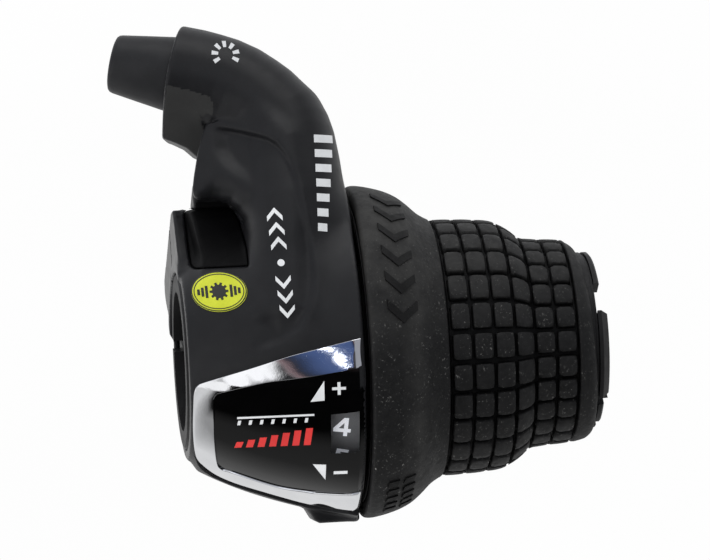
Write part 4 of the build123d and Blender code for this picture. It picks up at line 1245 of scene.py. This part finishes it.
area("key", (-0.55, -0.30, 1.05), (0.02, 0, 0), (1.4, 1.0), 1.0)
area("fill", (-0.95, -0.22, 0.02), (0.0, 0.0, 0.01), (0.5, 0.5), 3.5).visible_glossy = False
area("top", (0.10, 0.20, 1.1), (0.03, 0, 0), (0.9, 0.7), 3.2)

wd = bpy.data.worlds.new("studio")
scene.world = wd
wd.use_nodes = True
nt = wd.node_tree
bg = nt.nodes["Background"]
tc = nt.nodes.new("ShaderNodeTexCoord")


def aim(az, el):
    """Cosine of the angle from a direction: degrees left of the rider, degrees up."""
    az, el = math.radians(az), math.radians(el)
    dot = nt.nodes.new("ShaderNodeVectorMath")
    dot.operation = "DOT_PRODUCT"
    dot.inputs[1].default_value = (-math.sin(az) * math.cos(el), -math.cos(az) * math.cos(el), math.sin(el))
    nt.links.new(tc.outputs["Generated"], dot.inputs[0])
    return dot.outputs["Value"]


def deg(a):
    return (math.cos(math.radians(a)) + 1) / 2


# shade about the camera, a soft panel to its left and a small lamp over its shoulder
col = ramp(nt, remap(nt, aim(20, 2), -1.0, 1.0, 0.0, 1.0),
           [(0.0, (0.80, 0.81, 0.83)), (deg(105), (0.74, 0.75, 0.78)), (deg(78), (0.44, 0.45, 0.49)), (deg(48), (0.30, 0.31, 0.34)), (deg(36), (0.02, 0.02, 0.022))])
panel = remap(nt, aim(52, 14), math.cos(math.radians(20.5)), math.cos(math.radians(18.5)), 0.0, 1.0)
folds = ramp(nt, noise(nt, tc.outputs["Generated"], 9, 2, 0.5, (1.0, 1.0, 0.45)), [(0.36, (0.55, 0.55, 0.56)), (0.47, (1.12, 1.12, 1.13))])
col = mix(nt, panel, col, folds)
# a pale ceiling patch over the rider and shade high on the right
col = mix(nt, remap(nt, aim(4, 50), math.cos(math.radians(27)), math.cos(math.radians(12)), 0.0, 1.0), col, (0.80, 0.82, 0.88))
col = mix(nt, remap(nt, aim(-65, 55), math.cos(math.radians(48)), math.cos(math.radians(24)), 0.0, 0.6), col, (0.14, 0.14, 0.15))
lamp = aim(25.1, 20.3)
halo = ramp(nt, remap(nt, lamp, math.cos(math.radians(10)), 1.0, 0.0, 1.0),
            [(0.0, (0.30, 0.27, 0.28)), (0.30, (0.22, 0.150, 0.158)), (0.50, (0.035, 0.035, 0.045)), (0.70, (0.035, 0.05, 0.10)), (0.95, (0.07, 0.11, 0.25))])
col = mix(nt, remap(nt, lamp, math.cos(math.radians(10)), math.cos(math.radians(8.8)), 0.0, 1.0), col, halo)
col = mix(nt, remap(nt, lamp, math.cos(math.radians(0.65)), math.cos(math.radians(0.25)), 0.0, 1.0), col, (6.0, 6.2, 6.6))
lp = nt.nodes.new("ShaderNodeLightPath")
# matt surfaces are lit from all round
soft = ramp(nt, remap(nt, aim(20, 2), -1.0, 1.0, 0.0, 1.0), [(0.0, (0.80, 0.81, 0.83)), (0.5, (0.90, 0.91, 0.93)), (1.0, (1.10, 1.11, 1.13))])
col = mix(nt, lp.outputs["Is Diffuse Ray"], col, soft)
col = mix(nt, lp.outputs["Is Camera Ray"], col, (1.0, 1.0, 1.0))
nt.links.new(col, bg.inputs["Color"])
bg.inputs["Strength"].default_value = 1.0
